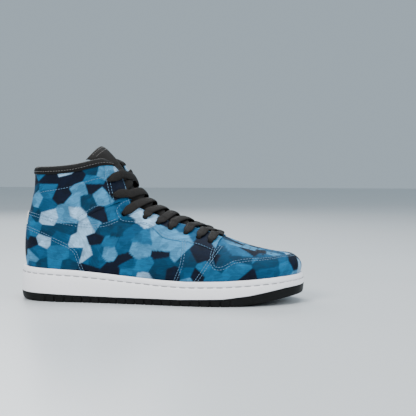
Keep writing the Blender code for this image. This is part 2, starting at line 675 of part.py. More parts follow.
def add_collar_binding():
    """A padded roll over the top edges of the panels, foam and lining."""
    last = EDGES[-1]["seams"]["throat_high"][0, 0] - 0.02
    ribs = rear_ribs(last, 37)
    depth = LINING_DEPTH + FOAM_THICK + LINING_THICK
    outward, inward = THICK["collar_panel"] + 0.9, -depth + 0.2
    turns = np.linspace(0, math.pi, 9)
    rows = []
    for rib in ribs:
        point, normal, up = collar_frame(rib)
        taper = 0.55 + 0.45 * smooth(last - abs(rib), 0, 0.7)
        inner = inward + (-1.2 - inward) * float(smooth(abs(rib), LINING_FRONT, last))
        outer = outward + (THICK["facing"] - THICK["collar_panel"]) * float(smooth(abs(rib), 3.9, 4.3))
        middle, half = (outer + inner) / 2, (outer - inner) / 2
        ring = [point + normal * (middle + half * math.cos(t)) + up * (0.4 + BINDING_HEIGHT * taper * math.sin(t))
                for t in turns]
        rows.append(ring)
    count = len(turns)
    faces = []
    for i in range(len(ribs) - 1):
        for j in range(count):
            n = (j + 1) % count
            faces.append((i * count + j, i * count + n, (i + 1) * count + n, (i + 1) * count + j))
    faces.append(tuple(range(count)))
    faces.append(tuple((len(ribs) - 1) * count + j for j in reversed(range(count))))
    add_object("collar_binding", np.array(rows), faces, "black")


def add_heel_tab():
    """A small white tab over the back seam of the quarters."""
    ribs = np.linspace(-0.42, 0.42, 5)
    grids = shell_grid(ribs, lambda r: share_at_height(0, 80.3), lambda r: share_at_height(0, 92.3), 5,
                       THICK["quarter"] + 1.7, THICK["quarter"] + 0.35)
    add_object("heel_tab", np.stack(grids), shell_faces(5, 5), "white_leather")


# ---------------------------------------------------------------- the sole


def feather_loop(per_side):
    """Rib numbers spaced evenly along the feather line: the heel, the lateral side, the toe, the medial side."""
    fine = np.linspace(0, LOOP, 1601)
    length = np.concatenate([[0], np.cumsum(np.linalg.norm(np.diff(surface(fine, 0.0)[0], axis=0), axis=1))])
    toe = length[800]
    lateral = np.interp(np.linspace(0, toe, per_side + 1), length, fine)
    medial = np.interp(np.linspace(toe, length[-1], per_side + 1), length, fine)
    return np.concatenate([lateral, medial[1:-1]])


def sole_row(ribs, offset, height):
    """A loop round the shoe, offset outward from the feather line. Height is a value or a side profile."""
    point = surface(ribs, np.zeros(len(ribs)))[0]
    ahead, behind = surface(ribs + 0.02, 0.0 * ribs)[0], surface(ribs - 0.02, 0.0 * ribs)[0]
    direction = (ahead - behind)[:, :2]
    direction /= np.linalg.norm(direction, axis=1, keepdims=True)
    outward = np.stack([direction[:, 1], -direction[:, 0]], 1)
    plan = point[:, :2] + outward * np.broadcast_to(offset, len(ribs))[:, None]
    return np.column_stack([plan, height(plan[:, 0] + MIDDLE)])


def clear_of_upper(ribs, height, clearance):
    """How far outward of the feather line the wall stands at a height, clear of the thickest panel."""
    foot, normal = surface(ribs, 0.0 * ribs)
    stations = foot[:, 0] + MIDDLE
    heights = np.broadcast_to(height(stations), len(ribs))
    shares = np.array([share_at_height(r, h) for r, h in zip(ribs, heights)])
    point = surface(ribs, shares)[0]
    outward = normal[:, :2] / np.linalg.norm(normal[:, :2], axis=1, keepdims=True)
    lean = ((point - foot)[:, :2] * outward).sum(1)
    return np.maximum(lean, 0) + THICK["toe_cap"] + clearance


def level(table, extra=0.0):
    return lambda station: along(table, station) + extra


def feather_height(extra=0.0):
    """The height of the upper's lower edge, by station."""
    table = [(RIBS[i][0][0], RIBS[i][0][2]) for i in range(TOE + 1)]
    return lambda station: along(table, station) + extra


def add_slab(name, rows, colour):
    """A closed body from loops that run from its underside up to its top, with both ends bridged across."""
    n = len(rows[0])
    faces = []
    for k in range(len(rows) - 1):
        for i in range(n):
            j = (i + 1) % n
            faces.append((k * n + i, k * n + j, (k + 1) * n + j, (k + 1) * n + i))
    for base in (0, (len(rows) - 1) * n):
        faces.append((base, base + 1, base + n - 1))
        for i in range(1, n // 2 - 1):
            faces.append((base + i, base + i + 1, base + n - i - 1, base + n - i))
        faces.append((base + n // 2 - 1, base + n // 2, base + n // 2 + 1))
    return add_object(name, np.array(rows), faces, colour)


SOLE_FLARE = 10.0  # the cupsole's outer edge, beyond the feather line
TREAD_PITCH = 9.6
TREAD_GROOVE = 2.2
TREAD_DEPTH = 3.0


def tread_loop():
    """Ribs and insets for the outsole's edge: wide lugs with narrow grooves between them."""
    side_length = np.linalg.norm(np.diff(surface(np.linspace(0, TOE, 400), 0.0)[0], axis=0), axis=1).sum()
    lugs = int(round(side_length / TREAD_PITCH))
    groove = TREAD_GROOVE / TREAD_PITCH
    shares, insets = [0.0], [0.0]
    for k in range(lugs):
        for place, inset in ((1 - groove, 0.0), (1 - groove / 2, 5.0), (1.0, 0.0)):
            if k < lugs - 1:
                shares.append((k + place) / lugs)
                insets.append(inset)
    shares.append(1.0)
    insets.append(0.0)
    half = feather_loop(2000)
    lateral = np.interp(shares, np.linspace(0, 1, 2001), half[:2001])
    medial = np.interp(shares, np.linspace(0, 1, 2001), np.append(half[2000:], LOOP)[::-1])
    return np.concatenate([lateral, medial[::-1][1:-1]]), np.array(insets + insets[::-1][1:-1])


def add_outsole():
    ribs, insets = tread_loop()
    ceiling = level(OUTSOLE_BOTTOM, TREAD_DEPTH)
    rows = [
        sole_row(ribs, SOLE_FLARE - 1.6 - insets, level(OUTSOLE_BOTTOM)),
        sole_row(ribs, SOLE_FLARE - 0.5 - insets, ceiling),
        sole_row(ribs, SOLE_FLARE - 0.4, lambda s: along(OUTSOLE_BOTTOM, s) + TREAD_DEPTH + 0.1),
        sole_row(ribs, SOLE_FLARE, level(OUTSOLE_TOP)),
    ]
    add_slab("outsole", rows, "black_rubber")


def cup_floor(extra=0.0):
    """The height of the floor inside the cup, kept below the insole board where the toe lifts."""
    return lambda s: np.minimum(along(OUTSOLE_TOP, s) + 3.4, feather_height(-3.8)(s)) + extra


def add_cupsole():
    ribs = feather_loop(46)

    def part_way(share):
        return lambda s: along(OUTSOLE_TOP, s) * (1 - share) + along(CUP_TOP, s) * share

    def half_way(station):
        return (along(CUP_TOP, station) + feather_height()(station)) / 2

    rows = [
        sole_row(ribs, SOLE_FLARE - 0.2, level(OUTSOLE_TOP, 0.3)),
        sole_row(ribs, SOLE_FLARE - 0.2, part_way(0.35)),
        sole_row(ribs, SOLE_FLARE - 0.7, level(CUP_TOP, -STITCH_DROP - GROOVE_HALF - 0.4)),
        sole_row(ribs, SOLE_FLARE - 2.0, level(CUP_TOP, -STITCH_DROP)),
        sole_row(ribs, SOLE_FLARE - 0.9, level(CUP_TOP, -STITCH_DROP + GROOVE_HALF + 0.4)),
        sole_row(ribs, SOLE_FLARE - 1.6, level(CUP_TOP, -0.7)),
        sole_row(ribs, SOLE_FLARE - 2.2, level(CUP_TOP)),
        sole_row(ribs, clear_of_upper(ribs, level(CUP_TOP, -0.4), 0.8), level(CUP_TOP, -0.3)),
        sole_row(ribs, clear_of_upper(ribs, half_way, 0.95), half_way),
        sole_row(ribs, 4.2, feather_height(-0.5)),
        sole_row(ribs, 3.0, cup_floor()),
    ]
    add_slab("cupsole", rows, "white_rubber")


LINER_PIVOT = (132.5, 7.0, 23.5)  # on the axis about which the sockliner's heel lifts, at its toe end


def add_inner_sole():
    """The foam wedge, the insole board and the loose sockliner, stacked inside the cup."""
    ribs = feather_loop(34)
    wedge = [sole_row(ribs, 2.2, cup_floor(0.35)), sole_row(ribs, 2.4, feather_height(-2.6))]
    add_slab("foam_wedge", wedge, "foam")
    board = [sole_row(ribs, -0.4, feather_height(-2.2)), sole_row(ribs, -0.4, feather_height(-0.6))]
    add_slab("insole_board", board, "board")
    raised = 2.0
    liner = [
        sole_row(ribs, -6.4, feather_height(0.0)),
        sole_row(ribs, -6.0, feather_height(1.5)),
        sole_row(ribs, -6.2, lambda s: feather_height(5.4)(s) + raised * (1 - smooth(s, 60, 120))),
        sole_row(ribs, -10.0, feather_height(4.4)),
    ]
    set_origin(add_slab("sockliner", liner, "black"), LINER_PIVOT)


STITCH_DROP = 6.0  # the seam through the cup's wall, below its top edge
GROOVE_HALF = 1.0


def add_sole_stitch():
    """The thread of the seam that sews the cup's wall to the upper, lying in its groove."""
    ribs = feather_loop(46)
    ring = [sole_row(ribs, SOLE_FLARE - 0.75, level(CUP_TOP, -STITCH_DROP - 0.55)),
            sole_row(ribs, SOLE_FLARE - 0.75, level(CUP_TOP, -STITCH_DROP + 0.55)),
            sole_row(ribs, SOLE_FLARE - 1.45, level(CUP_TOP, -STITCH_DROP))]
    n = len(ribs)
    faces = []
    for k in range(3):
        for i in range(n):
            j = (i + 1) % n
            faces.append((k * n + i, k * n + j, (k + 1) % 3 * n + j, (k + 1) % 3 * n + i))
    add_object("sole_stitch", np.array(ring), faces, "thread")


# ---------------------------------------------------------------- tongue

# The tongue's front face down its middle, from its stitched base to its tip: (station, height).
TONGUE_LINE = [(213, 65.2), (207, 67.8), (191, 75), (174.5, 82.3), (158.5, 89.2), (143.5, 96.8), (133.5, 104.8),
               (126.5, 113.5), (119.5, 122.8), (112.5, 132.5), (109, 137.2)]
TONGUE_EDGE = [(211.5, 63), (204.5, 62.5), (187, 65), (168, 69.5), (150, 75), (133, 82), (120, 91), (109, 102),
               (99, 114), (90, 127), (83, 138)]  # its side edges, at the same shares of its length
TONGUE_HALF = [(0, 13), (0.3, 20), (0.6, 22), (0.8, 20.5), (1, 19.5)]  # share of its length, half width
FLAP_LINE = [(109, 137.5), (103.5, 144.8), (97, 152.2), (90.4, 158.4), (86, 161.2)]
FLAP_EDGE = [(83.5, 145.4), (81, 146.2), (78.5, 146.8), (76.2, 147), (74.8, 146.6)]
FLAP_HALF = [(0, 18.5), (0.5, 19.5), (1, 20.5)]
TONGUE_THICK = 4.6
TONGUE_HINGE = (109.0, 137.35)  # where the flap folds over the top lace: station and height of the axis
SEWN = 0.07  # share of the tongue that lies flat under the toe box


def tongue_grid(line, edge, halves, rows, columns):
    """Points of a tongue piece's front and back faces. Each row lies in one plane through its middle point."""
    centre, side = smooth_curve(line, rows), smooth_curve(edge, rows)
    share = np.linspace(0, 1, rows)
    half = along(halves, share)[:, None]
    across = np.linspace(-1, 1, columns)[None, :]
    reach = np.linalg.norm(side - centre, axis=1)[:, None]
    towards = (side - centre) / reach
    y, depth = half * across, reach * np.abs(across) ** 2.2
    slope = 2.2 * reach * np.abs(across) ** 1.2 * np.sign(across) / half
    size = np.sqrt(1 + slope**2)
    front = place_rows(centre, towards, y, depth)
    direction = place_rows(centre * 0, towards, -slope / size, 1 / size, turn=0)
    return front, direction, share


def place_rows(centre, towards, y, depth, turn=1):
    """Points from each row's middle point, its direction towards its side edges, and y and depth within it."""
    point = np.zeros(y.shape + (3,))
    point[..., 0] = centre[:, :1] + towards[:, :1] * depth - MIDDLE * turn
    point[..., 1] = y + turn * centre_line(centre[:, :1])
    point[..., 2] = centre[:, 1:] + towards[:, 1:] * depth
    return point


def press_under(point, share):
    """Moves the tongue's front face down to where the eyestays, the lining and the lace leave it room."""
    for i in range(point.shape[0]):
        for j in range(point.shape[1]):
            here = Vector(point[i, j])
            near, _, face, _ = TREE.find_nearest(here)
            rib, part = place_at(near, face)
            rib = min(rib % LOOP, LOOP - rib % LOOP)
            normal = Vector(surface(rib if here.y < 0 else LOOP - rib, min(part, 0.99))[1])
            height = (here - near).dot(normal)
            side = float(smooth(abs(here.y - centre_line(here.x + MIDDLE)), 8, 15))
            padded = float(smooth(here.z, 88, 100) * (1 - smooth(rib, 4.4, 5.0)))
            limit = -0.1 - (5.3 + 4.2 * padded) * side
            sewn = 1 - float(smooth(share[i], SEWN, SEWN + 0.06))
            limit = limit * (1 - sewn) - 0.45 * sewn
            point[i, j] += np.array(normal) * min(0.0, limit - height)


def add_tongue():
    columns = 11
    front, inward, share = tongue_grid(TONGUE_LINE, TONGUE_EDGE, TONGUE_HALF, 24, columns)
    press_under(front, share)
    thick = (1.5 + (TONGUE_THICK - 1.5) * smooth(share, SEWN, SEWN + 0.1))[:, None, None]
    add_object("tongue", np.stack([front, front + inward * thick]), shell_faces(24, columns), "black")


def add_tongue_flap():
    columns = 11
    front, inward, share = tongue_grid(FLAP_LINE, FLAP_EDGE, FLAP_HALF, 8, columns)
    grid = np.stack([front, front + inward * TONGUE_THICK])
    pivot = np.array([TONGUE_HINGE[0] - MIDDLE, 0.0, TONGUE_HINGE[1]])
    set_origin(add_object("tongue_flap", grid, shell_faces(8, columns), "black"), pivot)


# ---------------------------------------------------------------- lace

LACE_WIDTH = 4.8
LACE_THICK = 1.3
LACE_IN_HOLE = 3.4
OVER = 4.3  # the lace's middle above the last surface where it lies on an eyestay
UNDER = -1.8  # the same where it runs inside
AGLET_LENGTH = 12.0
# Heights over the instep where a strand runs from under one side to over the other, at places from the
# first throat edge (1) through the ridge (0) to the second (-1). The strand that ends on the lateral
# side lies on top of the other.
TOP_STRAND = [(1.06, UNDER), (0.93, -1.6), (0.68, 3.3), (0.4, 4.0), (0, 4.1), (-0.5, 4.0), (-1, OVER + 0.4)]
LOW_STRAND = [(1.06, UNDER), (0.88, -1.4), (0.6, 0.8), (0.3, 1.1), (0, 1.15), (-0.4, 1.1), (-0.72, 1.0),
              (-0.88, 3.7), (-1.03, OVER + 0.5)]


def eyelet_frames(side):
    """For each eyelet: its centre, the normal there, the nearest throat edge point and its share of the tongue."""
    throat = on_side(EDGES[side]["throat"], side)
    edge_points, edge_normals = surface(throat[:, 0], throat[:, 1])
    line = smooth_curve(TONGUE_LINE, 400)
    frames = []
    for station, height in EYELETS:
        rib, share = seen_from_side(station, height, side)
        centre, normal = surface(rib, share)
        k = int(np.argmin(np.linalg.norm(edge_points - centre, axis=1)))
        place = np.array([edge_points[k][0] + MIDDLE, edge_points[k][2]])
        ridge = float(np.argmin(np.linalg.norm(line - place, axis=1)) / 399)
        frames.append((centre, normal, edge_points[k], edge_normals[k], ridge))
    return frames


def ridge_at(share):
    line = smooth_curve(TONGUE_LINE, 400)
    k = min(max(int(share * 399), 1), 398)
    slope = line[k + 1] - line[k - 1]
    front = np.array([slope[1], 0, -slope[0]]) / np.linalg.norm(slope)
    station, height = line[k]
    return np.array([station - MIDDLE, float(centre_line(station)), height]), front * np.sign(front[2])


def strand(frames, side, start, heights):
    """Points and widths of the lace from under the eyelet `start` to over the next one up, across the instep."""
    here, there = frames[side], frames[-side]
    end = start - 1
    points = []
    for place, rise in heights:
        part = (1.65 - place) / 3.3
        ref = here if place > 0 else there
        edge = ref[start][2] * (1 - part) + ref[end][2] * part
        edge_normal = ref[start][3] * (1 - part) + ref[end][3] * part
        ridge, front = ridge_at(here[start][4] * (1 - part) + here[end][4] * part)
        reach = abs(place)
        point = ridge + (edge - ridge) * np.array([reach, reach, reach**2])
        point[0] = ridge[0] + (edge - ridge)[0] * reach**2
        normal = front * (1 - reach) + edge_normal * reach
        points.append(point + normal / np.linalg.norm(normal) * rise)
    return points


def at_height(point, height):
    """The point moved straight out from the last surface to a height above it."""
    near, _, face, _ = TREE.find_nearest(Vector(point))
    rib, share = place_at(near, face)
    return np.array(near) + surface(rib, min(share, 0.99))[1] * height


def through_hole(centre, normal, outside, inside):
    """Points from outside an eyelet down through it and on to a point inside, as (point, width) pairs."""
    near = outside - centre
    near -= normal * near.dot(normal)
    near /= np.linalg.norm(near)
    far = inside - centre
    far -= normal * far.dot(normal)
    far /= np.linalg.norm(far)
    beyond = [(at_height((inside + centre) / 2, UNDER), LACE_WIDTH)] if np.linalg.norm(inside - centre) > 6 else []
    return [(at_height(outside * 0.66 + centre * 0.34, OVER), LACE_WIDTH),
            (at_height(outside * 0.33 + centre * 0.67, OVER), LACE_WIDTH),
            (centre + near * 2.4 + normal * OVER, LACE_IN_HOLE + 0.6),
            (centre + near * 0.7 + normal * 3.9, LACE_IN_HOLE),
            (centre - near * 0.1 + normal * 2.4, LACE_IN_HOLE), (centre - far * 0.1 + normal * 0.4, LACE_IN_HOLE),
            (centre + far * 0.7 - normal * 1.1, LACE_IN_HOLE),
            (centre + far * 2.4 + normal * UNDER, LACE_IN_HOLE + 0.6)] + beyond


def lace_half(frames, side):
    """The lace from inside the lowest eyelet on one side up to its tucked end, as (point, width) pairs."""
    path = []
    for start in range(len(EYELETS) - 1, 0, -1):
        heights = LOW_STRAND if side < 0 else TOP_STRAND
        crossing = strand(frames, side, start, heights)
        path.extend((p, LACE_WIDTH) for p in crossing)
        side = -side
        centre, normal = frames[side][start - 1][:2]
        if start > 1:
            following = strand(frames, side, start - 1, LOW_STRAND if side < 0 else TOP_STRAND)[0]
        else:
            following = tail_points(frames, side)[0]
        path.extend(through_hole(centre, normal, crossing[-1], following))
    path.extend((p, w) for p, w in zip(tail_points(frames, side), (LACE_IN_HOLE, 3.2, 2.6)))
    return path, side


def tail_points(frames, side):
    """The end of the lace, tucked down inside the facing behind the eyelets."""
    centre, normal = frames[side][0][:2]
    below = frames[side][1][0]
    down = (below - centre) / np.linalg.norm(below - centre)
    return [centre + down * a - normal * b for a, b in ((4.5, 3.2), (7.5, 4.8), (10.5, 5.1))]


def ribbon(path, directions):
    """A flat band swept along a path, its width towards the directions but square to the path."""
    points = np.array([p for p, _ in path])
    widths = np.array([w for _, w in path])
    tangent = np.gradient(points, axis=0)
    tangent /= np.linalg.norm(tangent, axis=1, keepdims=True)
    rings = []
    for k, (point, width) in enumerate(zip(points, widths)):
        across = directions[k] - tangent[k] * tangent[k].dot(directions[k])
        across /= np.linalg.norm(across)
        up = np.cross(tangent[k], across)
        rings.append([point + across * a * width / 2 + up * u * LACE_THICK / 2
                      for a, u in ((-1, -1), (1, -1), (1, 1), (-1, 1))])
    return np.array(rings)


def tube_faces(rings, sides):
    faces = []
    for i in range(rings - 1):
        for j in range(sides):
            n = (j + 1) % sides
            faces.append((i * sides + j, i * sides + n, (i + 1) * sides + n, (i + 1) * sides + j))
    faces.append(tuple(range(sides)))
    faces.append(tuple((rings - 1) * sides + j for j in reversed(range(sides))))
    return faces


def add_lace():
    frames = {side: eyelet_frames(side) for side in SIDES}
    last = len(EYELETS) - 1
    halves = {side: lace_half(frames, side) for side in SIDES}
    bar = []
    ahead = np.array([1.8, 0, -0.8])
    for side in (1, -1):
        centre, normal = frames[side][last][:2]
        following = halves[side][0][0][0]
        edge = frames[side][last][2] + frames[side][last][3] * OVER + ahead
        bar.append([(edge, LACE_WIDTH)] + through_hole(centre, normal, edge, following))
    ridge, front = ridge_at(frames[1][last][4])
    middle = [(ridge + front * 3.2 + ahead * 1.6, LACE_WIDTH)]
    path = halves[1][0][::-1] + bar[0][::-1] + middle + bar[1] + halves[-1][0]
    across = along_throat(frames, [p for p, _ in path])
    twist_end(across, [p for p, _ in path])
    across.reverse()
    twist_end(across, [p for p, _ in path[::-1]])
    across.reverse()
    rings = ribbon(path, across)
    add_object("lace", rings, tube_faces(len(path), 4), "black")
    for name, ends in (("a", (path[1][0], path[0][0])), ("b", (path[-2][0], path[-1][0]))):
        add_aglet(f"aglet_{name}", ends)


def along_throat(frames, points):
    """The direction up the row of eyelets near each point, which the lace's width follows."""
    rows = {side: np.array([frames[side][k][0] for k in range(len(EYELETS))]) for side in SIDES}
    middle = (rows[-1] + rows[1]) / 2
    result = []
    for point in points:
        share = np.clip((point[1] - centre_line(point[0] + MIDDLE)) / 56 + 0.5, 0, 1)
        slopes = np.gradient(rows[-1] * (1 - share) + rows[1] * share, axis=0)
        weight = np.exp(-(np.linalg.norm((middle - point) * (1, 0, 1), axis=1) ** 2) / 200)
        direction = (slopes * weight[:, None]).sum(0)
        result.append(direction / np.linalg.norm(direction))
    return result


def twist_end(across, points):
    """Turns the band's width a quarter turn within the top eyelet, so that its tucked end lies flat."""
    inner, outer = 5, 6
    down = points[0] - points[2]
    out = points[outer] - points[inner - 1]
    flat = np.cross(down, out)
    flat /= np.linalg.norm(flat)
    for k in range(inner + 1):
        across[k] = flat
    between = flat + across[outer] * math.copysign(1, flat.dot(across[outer + 1]) + 1e-9)
    across[outer] = between / np.linalg.norm(between)


def add_aglet(name, ends):
    before, end = (np.array(e) for e in ends)
    direction = (end - before) / np.linalg.norm(end - before)
    across = np.cross(direction, (0, 1, 0))
    across /= np.linalg.norm(across)
    up = np.cross(direction, across)
    rings = []
    for step, radius in ((0.35, 1.1), (0.8, 1.3), (AGLET_LENGTH - 0.8, 1.3), (AGLET_LENGTH, 0.8)):
        rings.append([end + direction * step + (across * math.cos(t) + up * math.sin(t)) * radius
                      for t in np.linspace(0, 2 * math.pi, 8, endpoint=False)])
    add_object(name, np.array(rings), tube_faces(4, 8), "black")


def punch_eyelets():
    """Cuts the eyelet holes through the facings and the eyestays."""
    for side, side_name in SIDES.items():
        for k, (station, height) in enumerate(EYELETS):
            rib, share = seen_from_side(station, height, side)
            centre, normal = surface(rib, share)
            panel = bpy.data.objects[("facing_" if k < 2 else "eyestay_") + side_name]
            punch = make_punch(f"punch_{side_name}_{k}", centre, normal)
            cut = panel.modifiers.new(f"eyelet_{k}", "BOOLEAN")
            cut.operation = "DIFFERENCE"
            cut.solver = "EXACT"
            cut.object = punch


def make_punch(name, centre, normal):
    mesh = bpy.data.meshes.new(name)
    bm = bmesh.new()
    bmesh.ops.create_cone(bm, cap_ends=True, segments=12, radius1=EYELET_RADIUS * MM, radius2=EYELET_RADIUS * MM,
                          depth=12 * MM)
    bm.to_mesh(mesh)
    bm.free()
    punch = bpy.data.objects.new(name, mesh)
    punch.location = Vector(centre) * MM
    punch.rotation_mode = "QUATERNION"
    punch.rotation_quaternion = Vector((0, 0, 1)).rotation_difference(Vector(normal))
    punch.hide_render = True
    punch.display_type = "WIRE"
    bpy.context.scene.collection.objects.link(punch)
    return punch


def clear_scene():
    for old in list(bpy.data.objects):
        bpy.data.objects.remove(old, do_unlink=True)


def main():
    clear_scene()
    add_side_panels()
    add_wrap_panels()
    add_toe_box()
    add_quarter_lining()
    add_vamp_lining()
    add_stiffeners()
    add_collar_foam()
    add_collar_binding()
    add_heel_tab()
    add_outsole()
    add_cupsole()
    add_inner_sole()
    add_sole_stitch()
    add_tongue()
    add_tongue_flap()
    add_lace()
    punch_eyelets()


main()
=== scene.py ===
"""Basketball high top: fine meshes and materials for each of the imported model's parts.

Frame: +X to the toe, +Y to the medial side, +Z up, origin on the ground under the middle of the shoe.
The upper is drawn on the same smooth last surface as the CAD part. Lengths are in millimetres
until a mesh is made, and a place on the surface is (rib number, share of the rib's height).
"""

import math

import bmesh
import bpy
import numpy as np
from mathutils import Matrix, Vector
from mathutils.bvhtree import BVHTree
from mathutils.kdtree import KDTree


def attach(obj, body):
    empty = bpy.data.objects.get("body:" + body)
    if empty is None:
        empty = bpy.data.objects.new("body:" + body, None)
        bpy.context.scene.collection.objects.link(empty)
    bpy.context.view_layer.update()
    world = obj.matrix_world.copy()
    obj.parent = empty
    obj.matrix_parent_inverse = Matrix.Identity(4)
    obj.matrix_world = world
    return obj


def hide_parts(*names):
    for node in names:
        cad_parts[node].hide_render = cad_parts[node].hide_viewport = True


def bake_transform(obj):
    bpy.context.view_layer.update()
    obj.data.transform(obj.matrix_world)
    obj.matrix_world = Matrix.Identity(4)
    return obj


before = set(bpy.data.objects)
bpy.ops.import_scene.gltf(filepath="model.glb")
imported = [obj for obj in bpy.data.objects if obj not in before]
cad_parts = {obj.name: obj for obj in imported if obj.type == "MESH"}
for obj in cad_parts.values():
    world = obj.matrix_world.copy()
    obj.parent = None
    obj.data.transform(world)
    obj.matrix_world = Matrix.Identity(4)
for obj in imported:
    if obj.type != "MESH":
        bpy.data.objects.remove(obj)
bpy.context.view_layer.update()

MM = 0.001
LENGTH = 300.0  # the sole, heel to toe
MIDDLE = LENGTH / 2
TOE = 14  # the rib at the centre of the toe
LOOP = 2 * TOE

# Lateral ribs, heel to toe. Each runs up from the sole in points of (station, half width, height).
RIBS = [
    [(10.2, 0, 26), (6.8, 0, 44), (7.0, 0, 66), (10, 0, 88), (14.5, 0, 108), (16.5, 0, 124), (17, 0, 134)],
    [(19, 21.5, 26), (17, 24, 44), (17.2, 24.5, 66), (19.5, 23.5, 88), (23, 22.8, 108), (24.5, 23.5, 124),
     (25, 24.5, 134)],
    [(42, 31, 26), (42, 33, 44), (42, 33, 66), (43, 31.5, 88), (44, 30.3, 108), (44.5, 31, 124),
     (45, 32, 134.5)],
    [(75, 32.5, 25), (75, 35, 42), (74.5, 35, 64), (73.5, 33, 86), (72, 31.2, 106), (71, 31.5, 123),
     (70, 32.5, 138)],
    [(105, 34.5, 23), (105, 37.5, 40), (104, 37.2, 60), (101.5, 35, 82), (98, 32, 104), (95, 30.3, 125),
     (92, 29.5, 143.5)],
    [(126, 37, 21), (126, 40, 37), (124.5, 39.5, 56), (121.5, 36.5, 77), (117, 32, 98), (112, 27, 119),
     (105.5, 21.5, 139.5)],
    [(146, 39.5, 20), (146, 42.5, 35), (144.5, 42, 53), (140.5, 37.5, 71), (134.5, 30, 87.5),
     (127, 18.5, 103), (119, 0, 119)],
    [(168, 43.5, 19), (168, 46.5, 33), (166.5, 46, 49), (162.5, 40.5, 64), (157, 29.5, 77), (150, 16, 88),
     (143, 0, 97.5)],
    [(192, 47, 18.5), (192, 50, 31.5), (191, 49.5, 45), (188, 43, 57), (184, 31.5, 67.5), (179, 17, 76.5),
     (174.5, 0, 83)],
    [(216, 48.5, 18.5), (216, 52, 31), (215.5, 51.5, 42), (214, 45, 52), (211.5, 34, 60.5),
     (209, 18.5, 66), (207, 0, 68.5)],
    [(240, 45.5, 19), (240.5, 49.5, 30.5), (240.5, 49, 40), (240, 43.5, 47.5), (238.5, 33.5, 53),
     (236.5, 18.5, 55.7), (235, 0, 56.5)],
    [(262, 38.5, 20), (263.3, 42.5, 31), (263.5, 42, 39), (262, 37, 44.7), (259.5, 28, 48.8),
     (257.5, 15.5, 50.8), (256, 0, 51.5)],
    [(278.5, 26, 21.5), (281, 29.8, 31.5), (281, 29.3, 38.5), (278, 25.5, 43.8), (273, 19, 47.5),
     (268, 10.5, 49.5), (265.5, 0, 50.2)],
    [(287.5, 14.5, 23), (290.8, 17, 32.5), (290.8, 16.7, 38.5), (287, 14.5, 43.6), (280.5, 11, 47.2),
     (273.5, 6, 49.2), (269.8, 0, 49.8)],
    [(289.5, 0, 23.5), (293.6, 0, 33), (293.8, 0, 39), (290, 0, 43.9), (283.3, 0, 47.3), (275.5, 0, 49.2),
     (271, 0, 49.8)],
]
ROWS = len(RIBS[0])
SHAFT_RIBS = 6  # ribs 0 to 5 end at the collar, the others at the instep's ridge
MEDIAL_WIDTH = [(0, 1), (70, 1), (105, 0.93), (126, 0.86), (146, 0.83), (168, 0.86), (192, 0.91), (216, 0.94),
                (240, 0.98), (262, 1), (300, 1)]  # station, share of the lateral half width near the sole
FEATHER_TUCK = 1.0  # how far the feather line is drawn in under the upper
TOE_INSET = 7.0  # how far the toe's centre sits towards the medial side of the heel's
HEEL_OFFSET = 3.1  # how far the heel's centre sits towards the lateral side, which centres the sole's width

# The sole, seen from the side: (station, height).
CUP_TOP = [(0, 35.8), (68, 33), (121, 28.6), (158, 25.6), (185, 24.6), (222, 25.4), (248, 26.8), (299, 30.4)]
OUTSOLE_TOP = [(0, 8.6), (36, 8.2), (68, 7.2), (110, 6.4), (180, 6.4), (222, 7.6), (248, 10.8), (269, 14.8),
               (282, 17.2), (301, 19.2)]
OUTSOLE_BOTTOM = [(0, 3.2), (9, 1.1), (20, 0), (226, 0), (248, 2.0), (269, 5), (290, 8.8), (301, 10.8)]

# Seams on the upper, seen from the side: (station, height).
COLLAR_SEAM = [(31.5, 114.9), (55.3, 119), (71.3, 123.3), (86.4, 128), (97.5, 129.5)]
BAND_TOP = [(32.6, 89.7), (50.7, 85.6), (66.8, 82.8)]
GUSSET_TOP = [(66.8, 82.8), (78.8, 90.5), (86.1, 95.3), (102.5, 101)]
GUSSET_LOW = [(66.8, 82.8), (84.2, 81.3), (99.7, 83.3), (111.4, 87.9)]
HEEL_TOP = [(33.2, 72.7), (47.3, 66.2), (62, 60)]
HEEL_FRONT = [(62, 60), (70, 53.5), (74.5, 42), (79, 30)]
STAY_REAR = [(120.5, 105.5), (113.8, 102.5), (109.3, 95), (111.4, 87.9)]
STAY_LOW = [(111.4, 87.9), (116, 82.6), (126, 81), (138, 79.6), (147.4, 75.2), (157.4, 67.2), (166, 64.4),
            (177, 62.4), (195.3, 58.3), (210, 53)]
THROAT_HIGH = [(104.6, 139), (107.8, 134.5), (110.3, 130), (115, 120), (118.4, 111.5), (121, 105.5)]
THROAT_LOW = [(121, 105.5), (124.5, 99.5), (135, 93.3), (149.8, 87.3), (162, 81.3)]
COLLAR_AT_HEEL, BAND_AT_HEEL, OVERLAY_AT_HEEL = 111.5, 93.5, 78.8  # seam heights at the back of the heel
THROAT_GAP = [(178, 15.5), (196, 14.5), (212.5, 12.5)]  # its lower end, as (station, half gap)
FACING_REAR = [(96, 140), (97, 128.6), (99.4, 118), (103.3, 102)]
WING_REAR = [(177, 62.4), (178.5, 55.8), (177, 42), (172, 30)]
CAP_REAR = [(194, 30), (199.5, 37.3), (208.8, 50.1), (215, 58.8)]
WINDOW_REAR = [(215, 58.8), (213, 51.2), (212.7, 45.7), (214.4, 41)]
WINDOW_SIDE = [(214.4, 41), (220, 41), (225.1, 43.1), (231.5, 45.6), (244.5, 46.6), (258.1, 46.2)]
WINDOW_FRONT_HEIGHT = 46.8  # of the window's edge at the front corner and the centre of the toe
EYELETS = [(102.1, 125.3), (107.6, 110), (118.5, 91), (138.2, 86), (151.6, 79.8), (164.5, 74.5),
           (180.5, 69.6), (194, 65.4), (206.3, 61.4)]
EYELET_RADIUS = 2.8

